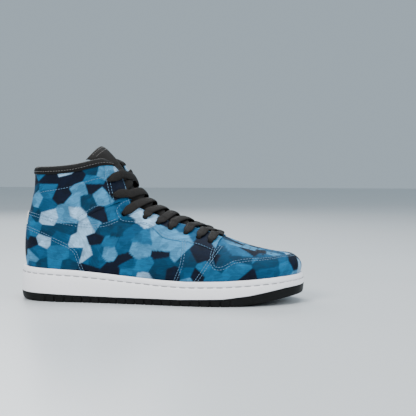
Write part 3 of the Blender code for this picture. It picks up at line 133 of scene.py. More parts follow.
# Outer faces of the panels above the last surface. Overlapping panels are thicker than what they cover.
THICK = {"toe_box": 1.6, "quarter": 2.0, "gusset": 0.9, "ankle_panel": 1.5, "collar_panel": 1.0,
         "facing": 2.3, "eyestay": 2.8, "vamp_wing": 2.4, "heel_overlay": 2.7, "toe_cap": 2.9}
LINING_DEPTH = 3.3
LINING_THICK = 1.4
FOAM_THICK = 4.1  # how much deeper the lining lies behind the collar's foam
FOAM_LOW, FOAM_HIGH = 84.0, 100.0  # heights over which the foam grows
BINDING_HEIGHT = 5.6
COLLAR_SHARE = 0.985  # share of the shaft's ribs at which its panels end, under the binding


# ---------------------------------------------------------------- colours and materials


def linear(red, green, blue):
    """A display colour from 0 to 255 as a linear colour."""
    return tuple(((v / 255 + 0.055) / 1.055) ** 2.4 if v > 10 else v / 3294 for v in (red, green, blue))


NAVY = linear(3, 13, 32)
TEAL = linear(2, 50, 76)
BLUE = linear(5, 68, 102)
MID = linear(20, 88, 126)
SKY = linear(62, 124, 162)
PALE = linear(138, 176, 206)


def new_material(name, colour, roughness, **settings):
    """A material, its node tree and its shader."""
    made = bpy.data.materials.new(name)
    made.use_nodes = True
    shader = made.node_tree.nodes["Principled BSDF"]
    shader.inputs["Base Color"].default_value = (*colour, 1)
    shader.inputs["Roughness"].default_value = roughness
    for key, value in settings.items():
        shader.inputs[key.replace("_", " ")].default_value = value
    return made, made.node_tree, shader


def add_node(tree, kind, inputs=(), **settings):
    node = tree.nodes.new(kind)
    for key, value in settings.items():
        setattr(node, key, value)
    for key, value in dict(inputs).items():
        if isinstance(value, bpy.types.NodeSocket):
            tree.links.new(value, node.inputs[key])
        else:
            node.inputs[key].default_value = value
    return node


def noise(tree, vector, scale, detail=3.0):
    inputs = {"Vector": vector, "Scale": scale, "Detail": detail}
    return add_node(tree, "ShaderNodeTexNoise", inputs).outputs["Fac"]


def stripes(tree, vector, direction, period):
    """Soft ridges from 0 to 1, this far apart in the vector's own unit."""
    scale = 2 * math.pi / (20 * period)
    return add_node(tree, "ShaderNodeTexWave", {"Vector": vector, "Scale": scale, "Distortion": 0.4,
                                                "Detail Scale": 2.0},
                    bands_direction=direction).outputs["Fac"]


def ranged(tree, value, low, high, from_low=0.0, from_high=1.0):
    return add_node(tree, "ShaderNodeMapRange", {"Value": value, "From Min": from_low, "From Max": from_high,
                                                 "To Min": low, "To Max": high}).outputs["Result"]


def calculate(tree, operation, a, b):
    return add_node(tree, "ShaderNodeMath", {0: a, 1: b}, operation=operation).outputs["Value"]


def times(tree, a, b):
    return calculate(tree, "MULTIPLY", a, b)


def mixed(tree, colour_a, colour_b, share):
    node = add_node(tree, "ShaderNodeMix", data_type="RGBA")
    for socket, value in ((node.inputs[0], share), (node.inputs[6], colour_a), (node.inputs[7], colour_b)):
        if isinstance(value, bpy.types.NodeSocket):
            tree.links.new(value, socket)
        else:
            socket.default_value = value if isinstance(value, float) else (*value, 1)
    return node.outputs[2]


def scaled(tree, colour, factor):
    node = add_node(tree, "ShaderNodeVectorMath", {0: colour}, operation="SCALE")
    tree.links.new(factor, node.inputs["Scale"])
    return node.outputs["Vector"]


def bump(tree, shader, height, strength, depth):
    node = add_node(tree, "ShaderNodeBump", {"Height": height, "Strength": strength, "Distance": depth * MM})
    tree.links.new(node.outputs["Normal"], shader.inputs["Normal"])


def set_colour(tree, shader, colour):
    tree.links.new(colour, shader.inputs["Base Color"])


def set_roughness(tree, shader, tone, low, high):
    """Roughness from low to high, which follows the middle of a noise's range."""
    tree.links.new(ranged(tree, tone, low, high, 0.3, 0.7), shader.inputs["Roughness"])


def cloth_vector(tree):
    """The piece's own cloth coordinates, in millimetres."""
    return add_node(tree, "ShaderNodeUVMap", uv_map="cloth").outputs["UV"]


def body_vector(tree):
    """Object coordinates in millimetres."""
    place = add_node(tree, "ShaderNodeTexCoord").outputs["Object"]
    inputs = {0: place, 1: (1000, 1000, 1000)}
    return add_node(tree, "ShaderNodeVectorMath", inputs, operation="MULTIPLY").outputs[0]


def print_material():
    """Printed leather: the painted print, soft facets in it, a fine canvas grain and darker cut edges."""
    made, tree, shader = new_material("printed_leather", BLUE, 0.6, Specular_IOR_Level=0.14)
    place = cloth_vector(tree)
    colour = add_node(tree, "ShaderNodeAttribute", attribute_name="print").outputs["Color"]
    facets = add_node(tree, "ShaderNodeTexVoronoi", {"Vector": place, "Scale": 0.13}, voronoi_dimensions="2D",
                      distance="MANHATTAN").outputs["Color"]
    brush = noise(tree, add_node(tree, "ShaderNodeVectorMath", {0: place, 1: (0.16, 0.9, 1)},
                                 operation="MULTIPLY").outputs[0], 0.8, 4.0)
    grain = noise(tree, place, 1.5, 4.0)
    shade = times(tree, ranged(tree, facets, 0.8, 1.2), ranged(tree, brush, 0.82, 1.2, 0.3, 0.7))
    shade = times(tree, shade, ranged(tree, grain, 0.86, 1.14, 0.3, 0.7))
    rim = add_node(tree, "ShaderNodeAttribute", attribute_name="rim").outputs["Fac"]
    shade = times(tree, shade, ranged(tree, rim, 1.0, 0.42))
    set_colour(tree, shader, scaled(tree, colour, shade))
    weave = times(tree, stripes(tree, place, "X", 0.9), stripes(tree, place, "Y", 0.9))
    height = calculate(tree, "ADD", times(tree, weave, 0.5), grain)
    bump(tree, shader, height, 0.55, 0.22)
    set_roughness(tree, shader, grain, 0.5, 0.72)
    return made


def woven_black(name, colour, light, period, roughness, depth):
    """Black woven cloth with soft wear in the tone: its crossed ridges are painted lighter, a painted
    highlight where they catch the light.
    """
    made, tree, shader = new_material(name, colour, roughness, Specular_IOR_Level=0.18)
    place = cloth_vector(tree)
    weave = times(tree, stripes(tree, place, "X", period), stripes(tree, place, "Y", period * 1.3))
    wear_and_sheen = noise(tree, place, 0.35, 4.0)
    share = times(tree, weave, ranged(tree, wear_and_sheen, 0.45, 1.2, 0.3, 0.7))
    # painted highlight: the colour goes to the lighter tint on the weave's ridges, stronger in soft patches
    set_colour(tree, shader, mixed(tree, colour, light, share))
    bump(tree, shader, calculate(tree, "ADD", weave, times(tree, wear_and_sheen, 0.4)), 0.6, depth)
    set_roughness(tree, shader, wear_and_sheen, roughness - 0.08, roughness + 0.1)
    return made


def lace_material():
    """A flat tubular lace: a herringbone of slanting yarns on each half of its width, their ridges painted
    lighter as a painted highlight.
    """
    made, tree, shader = new_material("lace", linear(24, 23, 23), 0.7, Specular_IOR_Level=0.2)
    place = cloth_vector(tree)
    parts = add_node(tree, "ShaderNodeSeparateXYZ", {0: place})
    folded = calculate(tree, "ABSOLUTE", parts.outputs["X"], 0.0)
    slant = calculate(tree, "ADD", times(tree, folded, 0.8), parts.outputs["Y"])
    slanted = add_node(tree, "ShaderNodeCombineXYZ", {"X": slant, "Y": parts.outputs["X"]}).outputs["Vector"]
    yarn = stripes(tree, slanted, "X", 1.3)
    wear_and_sheen = noise(tree, place, 0.25, 3.0)
    share = times(tree, yarn, ranged(tree, wear_and_sheen, 0.5, 1.2, 0.3, 0.7))
    # painted highlight: the yarns go from near black to a lighter tint on their ridges, in soft patches
    set_colour(tree, shader, mixed(tree, linear(4, 3, 3), linear(40, 36, 33), share))
    bump(tree, shader, yarn, 0.7, 0.25)
    set_roughness(tree, shader, wear_and_sheen, 0.62, 0.8)
    return made


def rubber_material(name, colour, dark, roughness, depth, specular=0.5):
    """Moulded rubber: a fine pebble, faint mottling and scuffs."""
    made, tree, shader = new_material(name, colour, roughness, Specular_IOR_Level=specular)
    place = body_vector(tree)
    pebble = noise(tree, place, 1.6, 3.0)
    mottle = noise(tree, place, 0.06, 4.0)
    scuff = ranged(tree, noise(tree, place, 0.35, 5.0), 0.0, 0.5, 0.58, 0.75)
    set_colour(tree, shader, mixed(tree, colour, dark, times(tree, mottle, scuff)))
    bump(tree, shader, pebble, 0.3, depth)
    set_roughness(tree, shader, mottle, roughness - 0.08, roughness + 0.1)
    return made


def thread_material(name, colour, dark):
    """Twisted sewing thread."""
    made, tree, shader = new_material(name, colour, 0.65, Sheen_Weight=0.3)
    place = body_vector(tree)
    twist = stripes(tree, place, "DIAGONAL", 0.45)
    tone = noise(tree, place, 0.3, 2.0)
    share = times(tree, twist, ranged(tree, tone, 0.2, 0.9, 0.3, 0.7))
    set_colour(tree, shader, mixed(tree, colour, dark, share))
    bump(tree, shader, twist, 0.5, 0.15)
    return made


def plain_grain(name, colour, dark, scale, roughness, depth):
    """Foam, board and the other materials that lie inside: a grain at the given scale."""
    made, tree, shader = new_material(name, colour, roughness)
    place = body_vector(tree)
    grain = noise(tree, place, scale, 5.0)
    cells = add_node(tree, "ShaderNodeTexVoronoi", {"Vector": place, "Scale": scale}).outputs["Distance"]
    set_colour(tree, shader, mixed(tree, colour, dark, ranged(tree, grain, 0.0, 1.0, 0.35, 0.7)))
    bump(tree, shader, calculate(tree, "ADD", grain, cells), 0.5, depth)
    set_roughness(tree, shader, grain, roughness - 0.1, roughness + 0.1)
    return made


# ---------------------------------------------------------------- the last surface


def smooth(x, low, high):
    t = np.clip((np.asarray(x, float) - low) / (high - low), 0, 1)
    return t * t * (3 - 2 * t)


def unit(vector):
    return vector / np.linalg.norm(vector)


def run_length(points):
    """The distance along a line of points, at each of them."""
    return np.concatenate([[0], np.cumsum(np.linalg.norm(np.diff(points, axis=0), axis=1))])


def along(table, x):
    """A value from a list of (place, value) pairs."""
    return np.interp(x, [p[0] for p in table], [p[1] for p in table])


def centre_line(station):
    return TOE_INSET * smooth(station, 110, 290) - HEEL_OFFSET


def rib_points(rib, side):
    """A rib's points in millimetres. Side is -1 for lateral and 1 for medial."""
    points = []
    for row, (station, width, height) in enumerate(RIBS[rib]):
        narrowing = 1 - along(MEDIAL_WIDTH, station) if side > 0 else 0
        fade = 1 - row / (ROWS - 1)
        width = width * (1 - narrowing * fade)
        if row == 0 and 0 < rib < TOE:
            width -= FEATHER_TUCK
        points.append((station - MIDDLE, centre_line(station) + side * width, height))
    return points


def control_net():
    """Control points of the bicubic B-spline that passes through every rib's points."""
    lateral = [rib_points(i, -1) for i in range(TOE + 1)]
    medial = [rib_points(i, 1) for i in range(TOE + 1)]
    loop = lateral + [medial[i] for i in range(TOE - 1, 0, -1)]
    other = medial + [lateral[i] for i in range(TOE - 1, 0, -1)]
    data = np.zeros((LOOP, ROWS + 2, 3))
    for i in range(LOOP):
        rib = np.array(loop[i])
        is_shaft = min(i, LOOP - i) < SHAFT_RIBS
        data[i, 1:-1] = rib
        data[i, 0] = 2 * rib[0] - rib[1]
        data[i, -1] = 2 * rib[-1] - rib[-2] if is_shaft else other[i][-2]
    around = np.zeros((LOOP, LOOP))
    for i in range(LOOP):
        around[i, i] = 4 / 6
        around[i, i - 1] = around[i, (i + 1) % LOOP] = 1 / 6
    up = np.eye(ROWS + 2)
    for j in range(1, ROWS + 1):
        up[j, j - 1 : j + 2] = (1 / 6, 4 / 6, 1 / 6)
    net = np.linalg.solve(around, data.reshape(LOOP, -1)).reshape(data.shape)
    net = np.linalg.solve(up, net.transpose(1, 0, 2).reshape(ROWS + 2, -1))
    return net.reshape(ROWS + 2, LOOP, 3).transpose(1, 0, 2)


NET = control_net()


def basis(t):
    value = np.stack([(1 - t) ** 3, 3 * t**3 - 6 * t**2 + 4, -3 * t**3 + 3 * t**2 + 3 * t + 1, t**3], -1) / 6
    slope = np.stack([-((1 - t) ** 2), 3 * t**2 - 4 * t, -3 * t**2 + 2 * t + 1, t**2], -1) / 2
    return value, slope


def surface(rib, share):
    """Points and outward unit normals of the last surface, in millimetres."""
    rib, share = np.broadcast_arrays(np.asarray(rib, float), np.asarray(share, float))
    flat_rib, flat_share = rib.ravel(), np.clip(share.ravel(), -0.05, 0.9995)
    i = np.floor(flat_rib).astype(int)
    row = 1 + flat_share * (ROWS - 1)
    j = np.clip(np.floor(row).astype(int), 1, ROWS - 1)
    wa, da = basis(flat_rib - i)
    wv, dv = basis(row - j)
    ii = (i[:, None] + np.arange(-1, 3)) % LOOP
    jj = np.clip(j[:, None] + np.arange(-1, 3), 0, ROWS + 1)
    patch = NET[ii[:, :, None], jj[:, None, :]]
    point = np.einsum("na,nv,navc->nc", wa, wv, patch)
    normal = np.cross(np.einsum("na,nv,navc->nc", da, wv, patch), np.einsum("na,nv,navc->nc", wa, dv, patch))
    size = np.linalg.norm(normal, axis=1, keepdims=True)
    normal = np.where(size > 1e-3, normal / np.maximum(size, 1e-9), (0, 0, 1.0))
    return point.reshape(rib.shape + (3,)), normal.reshape(rib.shape + (3,))


def on_surface(places):
    """Points and normals of the surface at an array of (rib, share) places."""
    return surface(places[..., 0], places[..., 1])


def offset_surface(rib, share, distance):
    point, normal = surface(rib, share)
    return point + normal * np.asarray(distance)[..., None]


def dense_surface():
    """A fine mesh of the surface, to look up the place seen from the side or the nearest place."""
    ribs = np.linspace(0, LOOP, LOOP * 12 + 1)[:-1]
    shares = np.linspace(0, 1, 73)
    places = np.stack(np.meshgrid(ribs, shares, indexing="ij"), -1)
    points = on_surface(places)[0]
    across = len(shares)
    faces = []
    for i in range(len(ribs)):
        n = (i + 1) % len(ribs)
        for j in range(across - 1):
            faces.append((i * across + j, n * across + j, n * across + j + 1, i * across + j + 1))
    return BVHTree.FromPolygons(points.reshape(-1, 3).tolist(), faces), faces, places.reshape(-1, 2)


TREE, TREE_FACES, TREE_PLACES = dense_surface()


def place_at(hit, face):
    """(rib, share) of a point on one of the dense mesh's faces."""
    corners = TREE_FACES[face]
    places = TREE_PLACES[list(corners)].copy()
    if places[:, 0].max() - places[:, 0].min() > 1:
        places[places[:, 0] < 1, 0] += LOOP
    points = on_surface(places)[0]
    edge_a, edge_v = points[1] - points[0], points[3] - points[0]
    offset = np.array(hit) - points[0]
    ua, uv = np.linalg.lstsq(np.stack([edge_a, edge_v], 1), offset, rcond=None)[0]
    return places[0] + (places[1] - places[0]) * ua + (places[3] - places[0]) * uv


def seen_from_side(station, height, side):
    """(rib, share) of the surface seen from the lateral (-1) or medial (1) side at that place."""
    start = Vector((station - MIDDLE, side * 500.0, height))
    hit, _, face, _ = TREE.ray_cast(start, Vector((0, -side, 0)))
    if hit is None:
        raise ValueError(f"nothing is seen at station {station}, height {height}")
    return place_at(hit, face)


def seen_from_above(station, across):
    """(rib, share) of the surface seen from above, at a signed distance from the centre line."""
    start = Vector((station - MIDDLE, float(centre_line(station)) + across, 300.0))
    hit, _, face, _ = TREE.ray_cast(start, Vector((0, 0, -1)))
    return place_at(hit, face)


def nearest_place(point):
    """The surface's nearest point to this one, and its rib and share."""
    near, _, face, _ = TREE.find_nearest(Vector(point))
    return near, *place_at(near, face)


def share_at_height(rib, height):
    shares = np.linspace(0, 1, 241)
    return float(np.interp(height, surface(np.full(241, rib), shares)[0][:, 2], shares))


# ---------------------------------------------------------------- curves and panels on the surface


def smooth_curve(points, count):
    """A smooth curve through the points, sampled evenly by length."""
    points = np.asarray(points, float)
    if len(points) == 2:
        dense = points[0] + (points[1] - points[0]) * np.linspace(0, 1, 60)[:, None]
    else:
        padded = np.vstack([2 * points[0] - points[1], points, 2 * points[-1] - points[-2]])
        dense = []
        for k in range(1, len(padded) - 2):
            p0, p1, p2, p3 = padded[k - 1 : k + 3]
            for t in np.linspace(0, 1, 24, endpoint=False):
                dense.append(0.5 * (2 * p1 + (p2 - p0) * t + (2 * p0 - 5 * p1 + 4 * p2 - p3) * t**2
                                    + (3 * p1 - p0 - 3 * p2 + p3) * t**3))
        dense = np.array(dense + [points[-1]])
    length = run_length(dense)
    wanted = np.linspace(0, length[-1], count)
    return np.stack([np.interp(wanted, length, dense[:, c]) for c in range(dense.shape[1])], 1)


def seam(points, side):
    """A seam drawn from the side, as a smooth curve of (rib, share) places. Medial ribs count down."""
    places = []
    for station, height in smooth_curve(points, 40):
        rib, share = seen_from_side(station, height, side)
        places.append((LOOP - rib if side > 0 else rib, share))
    return np.array(places)


def seam_from_above(start, points, side):
    """A seam that carries on from a place through points of (station, distance from the centre line)."""
    first = surface(start[0] if side < 0 else LOOP - start[0], start[1])[0]
    gap = abs(first[1] - centre_line(first[0] + MIDDLE))
    places = [start]
    for station, across in smooth_curve([(first[0] + MIDDLE, gap)] + points, 30)[1:]:
        rib, share = seen_from_above(station, side * across)
        places.append(np.array((LOOP - rib if side > 0 else rib, share)))
    return np.array(places)


def join(*curves):
    """One curve from several whose ends meet."""
    return np.vstack([curves[0]] + [c[1:] for c in curves[1:]])


def resample(curve, shares):
    """The curve at these shares of its real length on the surface."""
    points = on_surface(curve)[0]
    length = run_length(points)
    wanted = np.asarray(shares) * length[-1]
    return np.stack([np.interp(wanted, length, curve[:, c]) for c in (0, 1)], 1)


def shell_faces(rows, columns):
    """Faces of a closed shell over two grids of points."""
    size = rows * columns

    def quad(a, b, c, d, back):
        return (d + back, c + back, b + back, a + back) if back else (a, b, c, d)

    faces = []
    for i in range(rows - 1):
        for j in range(columns - 1):
            a, b = i * columns + j, (i + 1) * columns + j
            faces.append(quad(a, b, b + 1, a + 1, 0))
            faces.append(quad(a, b, b + 1, a + 1, size))
    for i in range(rows - 1):
        a, b = i * columns, (i + 1) * columns
        faces.append((a + size, b + size, b, a))
        a, b = a + columns - 1, b + columns - 1
        faces.append((a, b, b + size, a + size))
    for j in range(columns - 1):
        faces.append((j, j + 1, j + 1 + size, j + size))
        k = (rows - 1) * columns + j
        faces.append((k + size, k + 1 + size, k + 1, k))
    return faces


def mirror_places(places):
    """The same places on the medial side."""
    mirrored = places.copy()
    mirrored[..., 0] = LOOP - mirrored[..., 0]
    return mirrored


def rib_point(rib, height):
    return np.array([[rib, share_at_height(rib, height)]])


def straight(start, end):
    """A straight seam in (rib, share), between two places."""
    return np.asarray(start) + (np.asarray(end) - start) * np.linspace(0, 1, 12)[:, None]


def heel_to(points, side, height):
    """A seam that starts at the centre of the heel at that height and then follows the points."""
    first = rib_point(0, height)
    rest = seam(points, side)
    middle = rib_point(1, height + (rest[0, 1] - first[0, 1]) * 30)
    blend = smooth_curve(np.vstack([first, middle, rest[:1]]), 12)
    return join(blend, rest)


def sole_line(start, end):
    return straight((start, 0.0), (end, 0.0))


def down_to_sole(curve):
    """The curve carried on to the feather line."""
    end, before = curve[-1], curve[-4]
    slope = (end[0] - before[0]) / (end[1] - before[1])
    foot = (end[0] - slope * end[1], 0.0)
    return join(curve, straight(end, foot))


def side_seams(side):
    """Every seam of one side of the upper, by name. Ribs count up from the heel on both sides."""
    seams = {
        "collar": heel_to(COLLAR_SEAM, side, COLLAR_AT_HEEL), "band": heel_to(BAND_TOP, side, BAND_AT_HEEL),
        "gusset_top": seam(GUSSET_TOP, side), "gusset_low": seam(GUSSET_LOW, side),
        "heel_top": heel_to(HEEL_TOP, side, OVERLAY_AT_HEEL),
        "heel_front": down_to_sole(seam(HEEL_FRONT, side)),
        "stay_rear": seam(STAY_REAR, side), "stay_low": seam(STAY_LOW, side),
        "throat_high": seam(THROAT_HIGH, side), "throat_low": seam(THROAT_LOW, side),
        "facing_rear": seam(FACING_REAR, side), "wing_rear": down_to_sole(seam(WING_REAR, side)),
        "cap_rear": down_to_sole(seam(CAP_REAR[::-1], side))[::-1], "window_rear": seam(WINDOW_REAR, side),
        "window_side": seam(WINDOW_SIDE, side),
    }
    low = seams["throat_low"]
    seams["throat_low"] = join(low, seam_from_above(low[-1], THROAT_GAP, side))
    corner = seams["window_side"][-1]
    front = [corner] + [(rib, share_at_height(rib, WINDOW_FRONT_HEIGHT)) for rib in (12, 13, TOE)]
    seams["window_front"] = smooth_curve(np.array(front), 30)
    return seams


def cut(curve, share_of_length, keep_start=True):
    """Part of a curve, up to or from a share of its length."""
    ends = (0, share_of_length) if keep_start else (share_of_length, 1)
    return resample(curve, np.linspace(*ends, 30))


def nearest_share(curve, place):
    """The share of the curve's length nearest to a place."""
    fine = resample(curve, np.linspace(0, 1, 401))
    return float(np.argmin(np.linalg.norm((fine - place) * (1, 5), axis=1)) / 400)


def panel_edges(side):
    """(low, high, left, right) edges of each panel on one side, all running forward or up."""
    s = side_seams(side)
    top_of_facing = s["facing_rear"][0]
    collar_edge = straight((0.0, COLLAR_SHARE), (top_of_facing[0], COLLAR_SHARE))
    meet = nearest_share(s["facing_rear"], s["collar"][-1])
    facing_high, facing_low = cut(s["facing_rear"], meet), cut(s["facing_rear"], meet, False)
    split = nearest_share(s["stay_low"], s["wing_rear"][0])
    stay_to_wing, stay_on_wing = cut(s["stay_low"], split), cut(s["stay_low"], split, False)
    heel_left = straight(s["heel_top"][0], s["band"][0])
    below_quarter = sole_line(s["heel_front"][-1, 0], s["wing_rear"][-1, 0])
    quarter_low = join(s["heel_top"], s["heel_front"], below_quarter)
    quarter_high = join(s["band"], s["gusset_low"], stay_to_wing)
    cap_split = nearest_share(s["cap_rear"], s["stay_low"][-1])
    cap_low_rear = cut(s["cap_rear"], cap_split)
    throat = join(s["throat_high"], s["throat_low"])
    return {
        "collar_panel": (s["collar"], collar_edge, straight(s["collar"][0], collar_edge[0]),
                         facing_high[::-1]),
        "ankle_panel": (join(s["band"], s["gusset_top"]), s["collar"],
                        straight(s["band"][0], s["collar"][0]), facing_low[::-1]),
        "gusset": (s["gusset_low"], join(s["gusset_top"], straight(s["gusset_top"][-1], s["stay_rear"][1])),
                   np.vstack([s["gusset_low"][0]] * 2), s["stay_rear"][1:][::-1]),
        "quarter": (quarter_low, quarter_high, heel_left, s["wing_rear"][::-1]),
        "facing": (straight(s["facing_rear"][-1], s["throat_high"][-1]),
                   straight(top_of_facing, s["throat_high"][0]), s["facing_rear"][::-1],
                   s["throat_high"][::-1]),
        "eyestay": (join(s["stay_rear"][1:], s["stay_low"]), s["throat_low"],
                    straight(s["stay_rear"][1], s["throat_low"][0]),
                    straight(s["stay_low"][-1], s["throat_low"][-1])),
        "vamp_wing": (sole_line(s["wing_rear"][-1, 0], s["cap_rear"][0, 0]), stay_on_wing,
                      s["wing_rear"][::-1], cap_low_rear),
        "seams": s, "throat": throat,
    }


EDGES = {side: panel_edges(side) for side in (-1, 1)}
SIDES = {-1: "lateral", 1: "medial"}


def on_side(places, side):
    return places if side < 0 else mirror_places(places)


def mirror_ribs(places):
    """Medial places as negative rib numbers, so that a panel can cross the heel."""
    mirrored = places.copy()
    mirrored[..., 0] *= -1
    return mirrored


def window_edge(rib, side):
    """The share of the toe box's side edge on a rib."""
    s = EDGES[side]["seams"]
    edge = join(s["window_side"], s["window_front"])
    return float(np.interp(rib, edge[:, 0], edge[:, 1]))


def lining_depth(height):
    return LINING_DEPTH + FOAM_THICK * smooth(height, FOAM_LOW, FOAM_HIGH)


def shell_grid(ribs, low, high, columns, outer, inner):
    """Two grids over ribs, from the low to the high share, at depths that may follow the height."""
    shares = np.array([np.linspace(low(r), high(r), columns) for r in ribs])
    rib_grid = np.repeat(np.asarray(ribs)[:, None], columns, 1)
    point, normal = surface(rib_grid, shares)
    height = point[..., 2]
    return [point + normal * (d(height) if callable(d) else np.full(height.shape, d))[..., None]
            for d in (outer, inner)]


LINING_FRONT = 4.2  # the rib at which the padded collar ends, just behind the facings


def lining_top(rib):
    """The lining's highest share on a rib: the collar's edge, then below the facing and the eyestay."""
    if rib <= LINING_FRONT + 0.01:
        return 0.975
    low = EDGES[-1]["seams"]["stay_low"]
    below_facing = share_at_height(LINING_FRONT, 99.0)
    return float(np.interp(rib, [LINING_FRONT] + list(low[:, 0]), [below_facing] + list(low[:, 1] - 0.01)))


def collar_frame(rib):
    """Centre of the collar's edge, its outward direction and its up direction."""
    point, normal = surface(rib, COLLAR_SHARE)
    below = surface(rib, 0.93)[0]
    return point, normal, unit(point - below)


# ---------------------------------------------------------------- the sole


def feather_loop(per_side):
    """Rib numbers spaced evenly along the feather line: heel, lateral side, toe, medial side."""
    fine = np.linspace(0, LOOP, 1601)
    length = run_length(surface(fine, 0.0)[0])
    toe = length[800]
    lateral = np.interp(np.linspace(0, toe, per_side + 1), length, fine)
    medial = np.interp(np.linspace(toe, length[-1], per_side + 1), length, fine)
    return np.concatenate([lateral, medial[1:-1]])


def sole_row(ribs, offset, height):
    """A loop round the shoe, offset outward from the feather line. Height is a value or a side profile."""
    point = surface(ribs, np.zeros(len(ribs)))[0]
    ahead, behind = surface(ribs + 0.02, 0.0 * ribs)[0], surface(ribs - 0.02, 0.0 * ribs)[0]
    direction = (ahead - behind)[:, :2]
    direction /= np.linalg.norm(direction, axis=1, keepdims=True)
    outward = np.stack([direction[:, 1], -direction[:, 0]], 1)
    plan = point[:, :2] + outward * np.broadcast_to(offset, len(ribs))[:, None]
    return np.column_stack([plan, height(plan[:, 0] + MIDDLE)])


def clear_of_upper(ribs, height, clearance):
    """How far outward of the feather line the wall stands at a height, clear of the thickest panel."""
    foot, normal = surface(ribs, 0.0 * ribs)
    stations = foot[:, 0] + MIDDLE
    heights = np.broadcast_to(height(stations), len(ribs))
    shares = np.array([share_at_height(r, h) for r, h in zip(ribs, heights)])
    point = surface(ribs, shares)[0]
    outward = normal[:, :2] / np.linalg.norm(normal[:, :2], axis=1, keepdims=True)
    lean = ((point - foot)[:, :2] * outward).sum(1)
    return np.maximum(lean, 0) + THICK["toe_cap"] + clearance


def level(table, extra=0.0):
    return lambda station: along(table, station) + extra


def feather_height(extra=0.0):
    """The height of the upper's lower edge, by station."""
    table = [(RIBS[i][0][0], RIBS[i][0][2]) for i in range(TOE + 1)]
    return lambda station: along(table, station) + extra


def add_slab(name, rows, colour):
    """A closed body from loops that run from its underside up to its top, with both ends bridged across."""
    n = len(rows[0])
    faces = []
    for k in range(len(rows) - 1):
        for i in range(n):
            j = (i + 1) % n
            faces.append((k * n + i, k * n + j, (k + 1) * n + j, (k + 1) * n + i))
    for base in (0, (len(rows) - 1) * n):
        faces.append((base, base + 1, base + n - 1))
        for i in range(1, n // 2 - 1):
            faces.append((base + i, base + i + 1, base + n - i - 1, base + n - i))
        faces.append((base + n // 2 - 1, base + n // 2, base + n // 2 + 1))
    return add_piece(name, np.array(rows), faces, colour)


SOLE_FLARE = 10.0  # the cupsole's outer edge, beyond the feather line
TREAD_PITCH = 9.6  # spacing of the blocks along the outsole's side


def cup_floor(station):
    """The height of the floor inside the cup, kept below the insole board where the toe lifts."""
    return np.minimum(along(OUTSOLE_TOP, station) + 3.4, feather_height(-3.8)(station))


STITCH_DROP = 6.0  # the seam through the cup's wall, below its top edge


# ---------------------------------------------------------------- tongue

# The tongue's front face down its middle, from its stitched base to its tip: (station, height).
TONGUE_LINE = [(213, 65.2), (207, 67.8), (191, 75), (174.5, 82.3), (158.5, 89.2), (143.5, 96.8),
               (133.5, 104.8), (126.5, 113.5), (119.5, 122.8), (112.5, 132.5), (109, 137.2)]
TONGUE_EDGE = [(211.5, 63), (204.5, 62.5), (187, 65), (168, 69.5), (150, 75), (133, 82), (120, 91),
               (109, 102), (99, 114), (90, 127), (83, 138)]  # its side edges, at the same shares
FLAP_LINE = [(109, 137.5), (103.5, 144.8), (97, 152.2), (90.4, 158.4), (86, 161.2)]
FLAP_EDGE = [(83.5, 145.4), (81, 146.2), (78.5, 146.8), (76.2, 147), (74.8, 146.6)]
TONGUE_THICK = 4.6
TONGUE_HINGE = (109.0, 137.35)  # where the flap folds over the top lace: station and height of the axis
SEWN = 0.07  # share of the tongue that lies flat under the toe box


def tongue_grid(line, edge, halves, rows, columns):
    """The tongue's front points, its inward directions and each row's share of its length.

    Each row lies in one plane through its middle point.
    """
    centre, side = smooth_curve(line, rows), smooth_curve(edge, rows)
    share = np.linspace(0, 1, rows)
    half = along(halves, share)[:, None]
    across = np.linspace(-1, 1, columns)[None, :]
    reach = np.linalg.norm(side - centre, axis=1)[:, None]
    towards = (side - centre) / reach
    y, depth = half * across, reach * np.abs(across) ** 2.2
    slope = 2.2 * reach * np.abs(across) ** 1.2 * np.sign(across) / half
    size = np.sqrt(1 + slope**2)
    front = place_rows(centre, towards, y, depth)
    direction = place_rows(centre * 0, towards, -slope / size, 1 / size, turn=0)
    return front, direction, share


def place_rows(centre, towards, y, depth, turn=1):
    """Points from each row's middle point and direction, and y and depth within the row."""
    point = np.zeros(y.shape + (3,))
    point[..., 0] = centre[:, :1] + towards[:, :1] * depth - MIDDLE * turn
    point[..., 1] = y + turn * centre_line(centre[:, :1])
    point[..., 2] = centre[:, 1:] + towards[:, 1:] * depth
    return point


def press_under(point, share):
    """Moves the tongue's front face down to where the eyestays, the lining and the lace leave it room."""
    for i in range(point.shape[0]):
        for j in range(point.shape[1]):
            here = Vector(point[i, j])
            near, rib, part = nearest_place(here)
            rib = min(rib % LOOP, LOOP - rib % LOOP)
            normal = Vector(surface(rib if here.y < 0 else LOOP - rib, min(part, 0.99))[1])
            height = (here - near).dot(normal)
            side = float(smooth(abs(here.y - centre_line(here.x + MIDDLE)), 8, 15))
            padded = float(smooth(here.z, 88, 100) * (1 - smooth(rib, 4.4, 5.0)))
            limit = -0.1 - (5.3 + 4.2 * padded) * side
            sewn = 1 - float(smooth(share[i], SEWN, SEWN + 0.06))
            limit = limit * (1 - sewn) - 0.45 * sewn
            point[i, j] += np.array(normal) * min(0.0, limit - height)


# ---------------------------------------------------------------- lace

LACE_WIDTH = 4.8
LACE_IN_HOLE = 3.4
OVER = 4.3  # the lace's middle above the last surface where it lies on an eyestay
UNDER = -1.8  # the same where it runs inside
# Heights over the instep where a strand runs from under one side to over the other, at places from the
# first throat edge (1) through the ridge (0) to the second (-1). The strand that ends on the lateral
# side lies on top of the other.
TOP_STRAND = [(1.06, UNDER), (0.93, -1.6), (0.68, 3.3), (0.4, 4.0), (0, 4.1), (-0.5, 4.0), (-1, OVER + 0.4)]
LOW_STRAND = [(1.06, UNDER), (0.88, -1.4), (0.6, 0.8), (0.3, 1.1), (0, 1.15), (-0.4, 1.1), (-0.72, 1.0),
              (-0.88, 3.7), (-1.03, OVER + 0.5)]


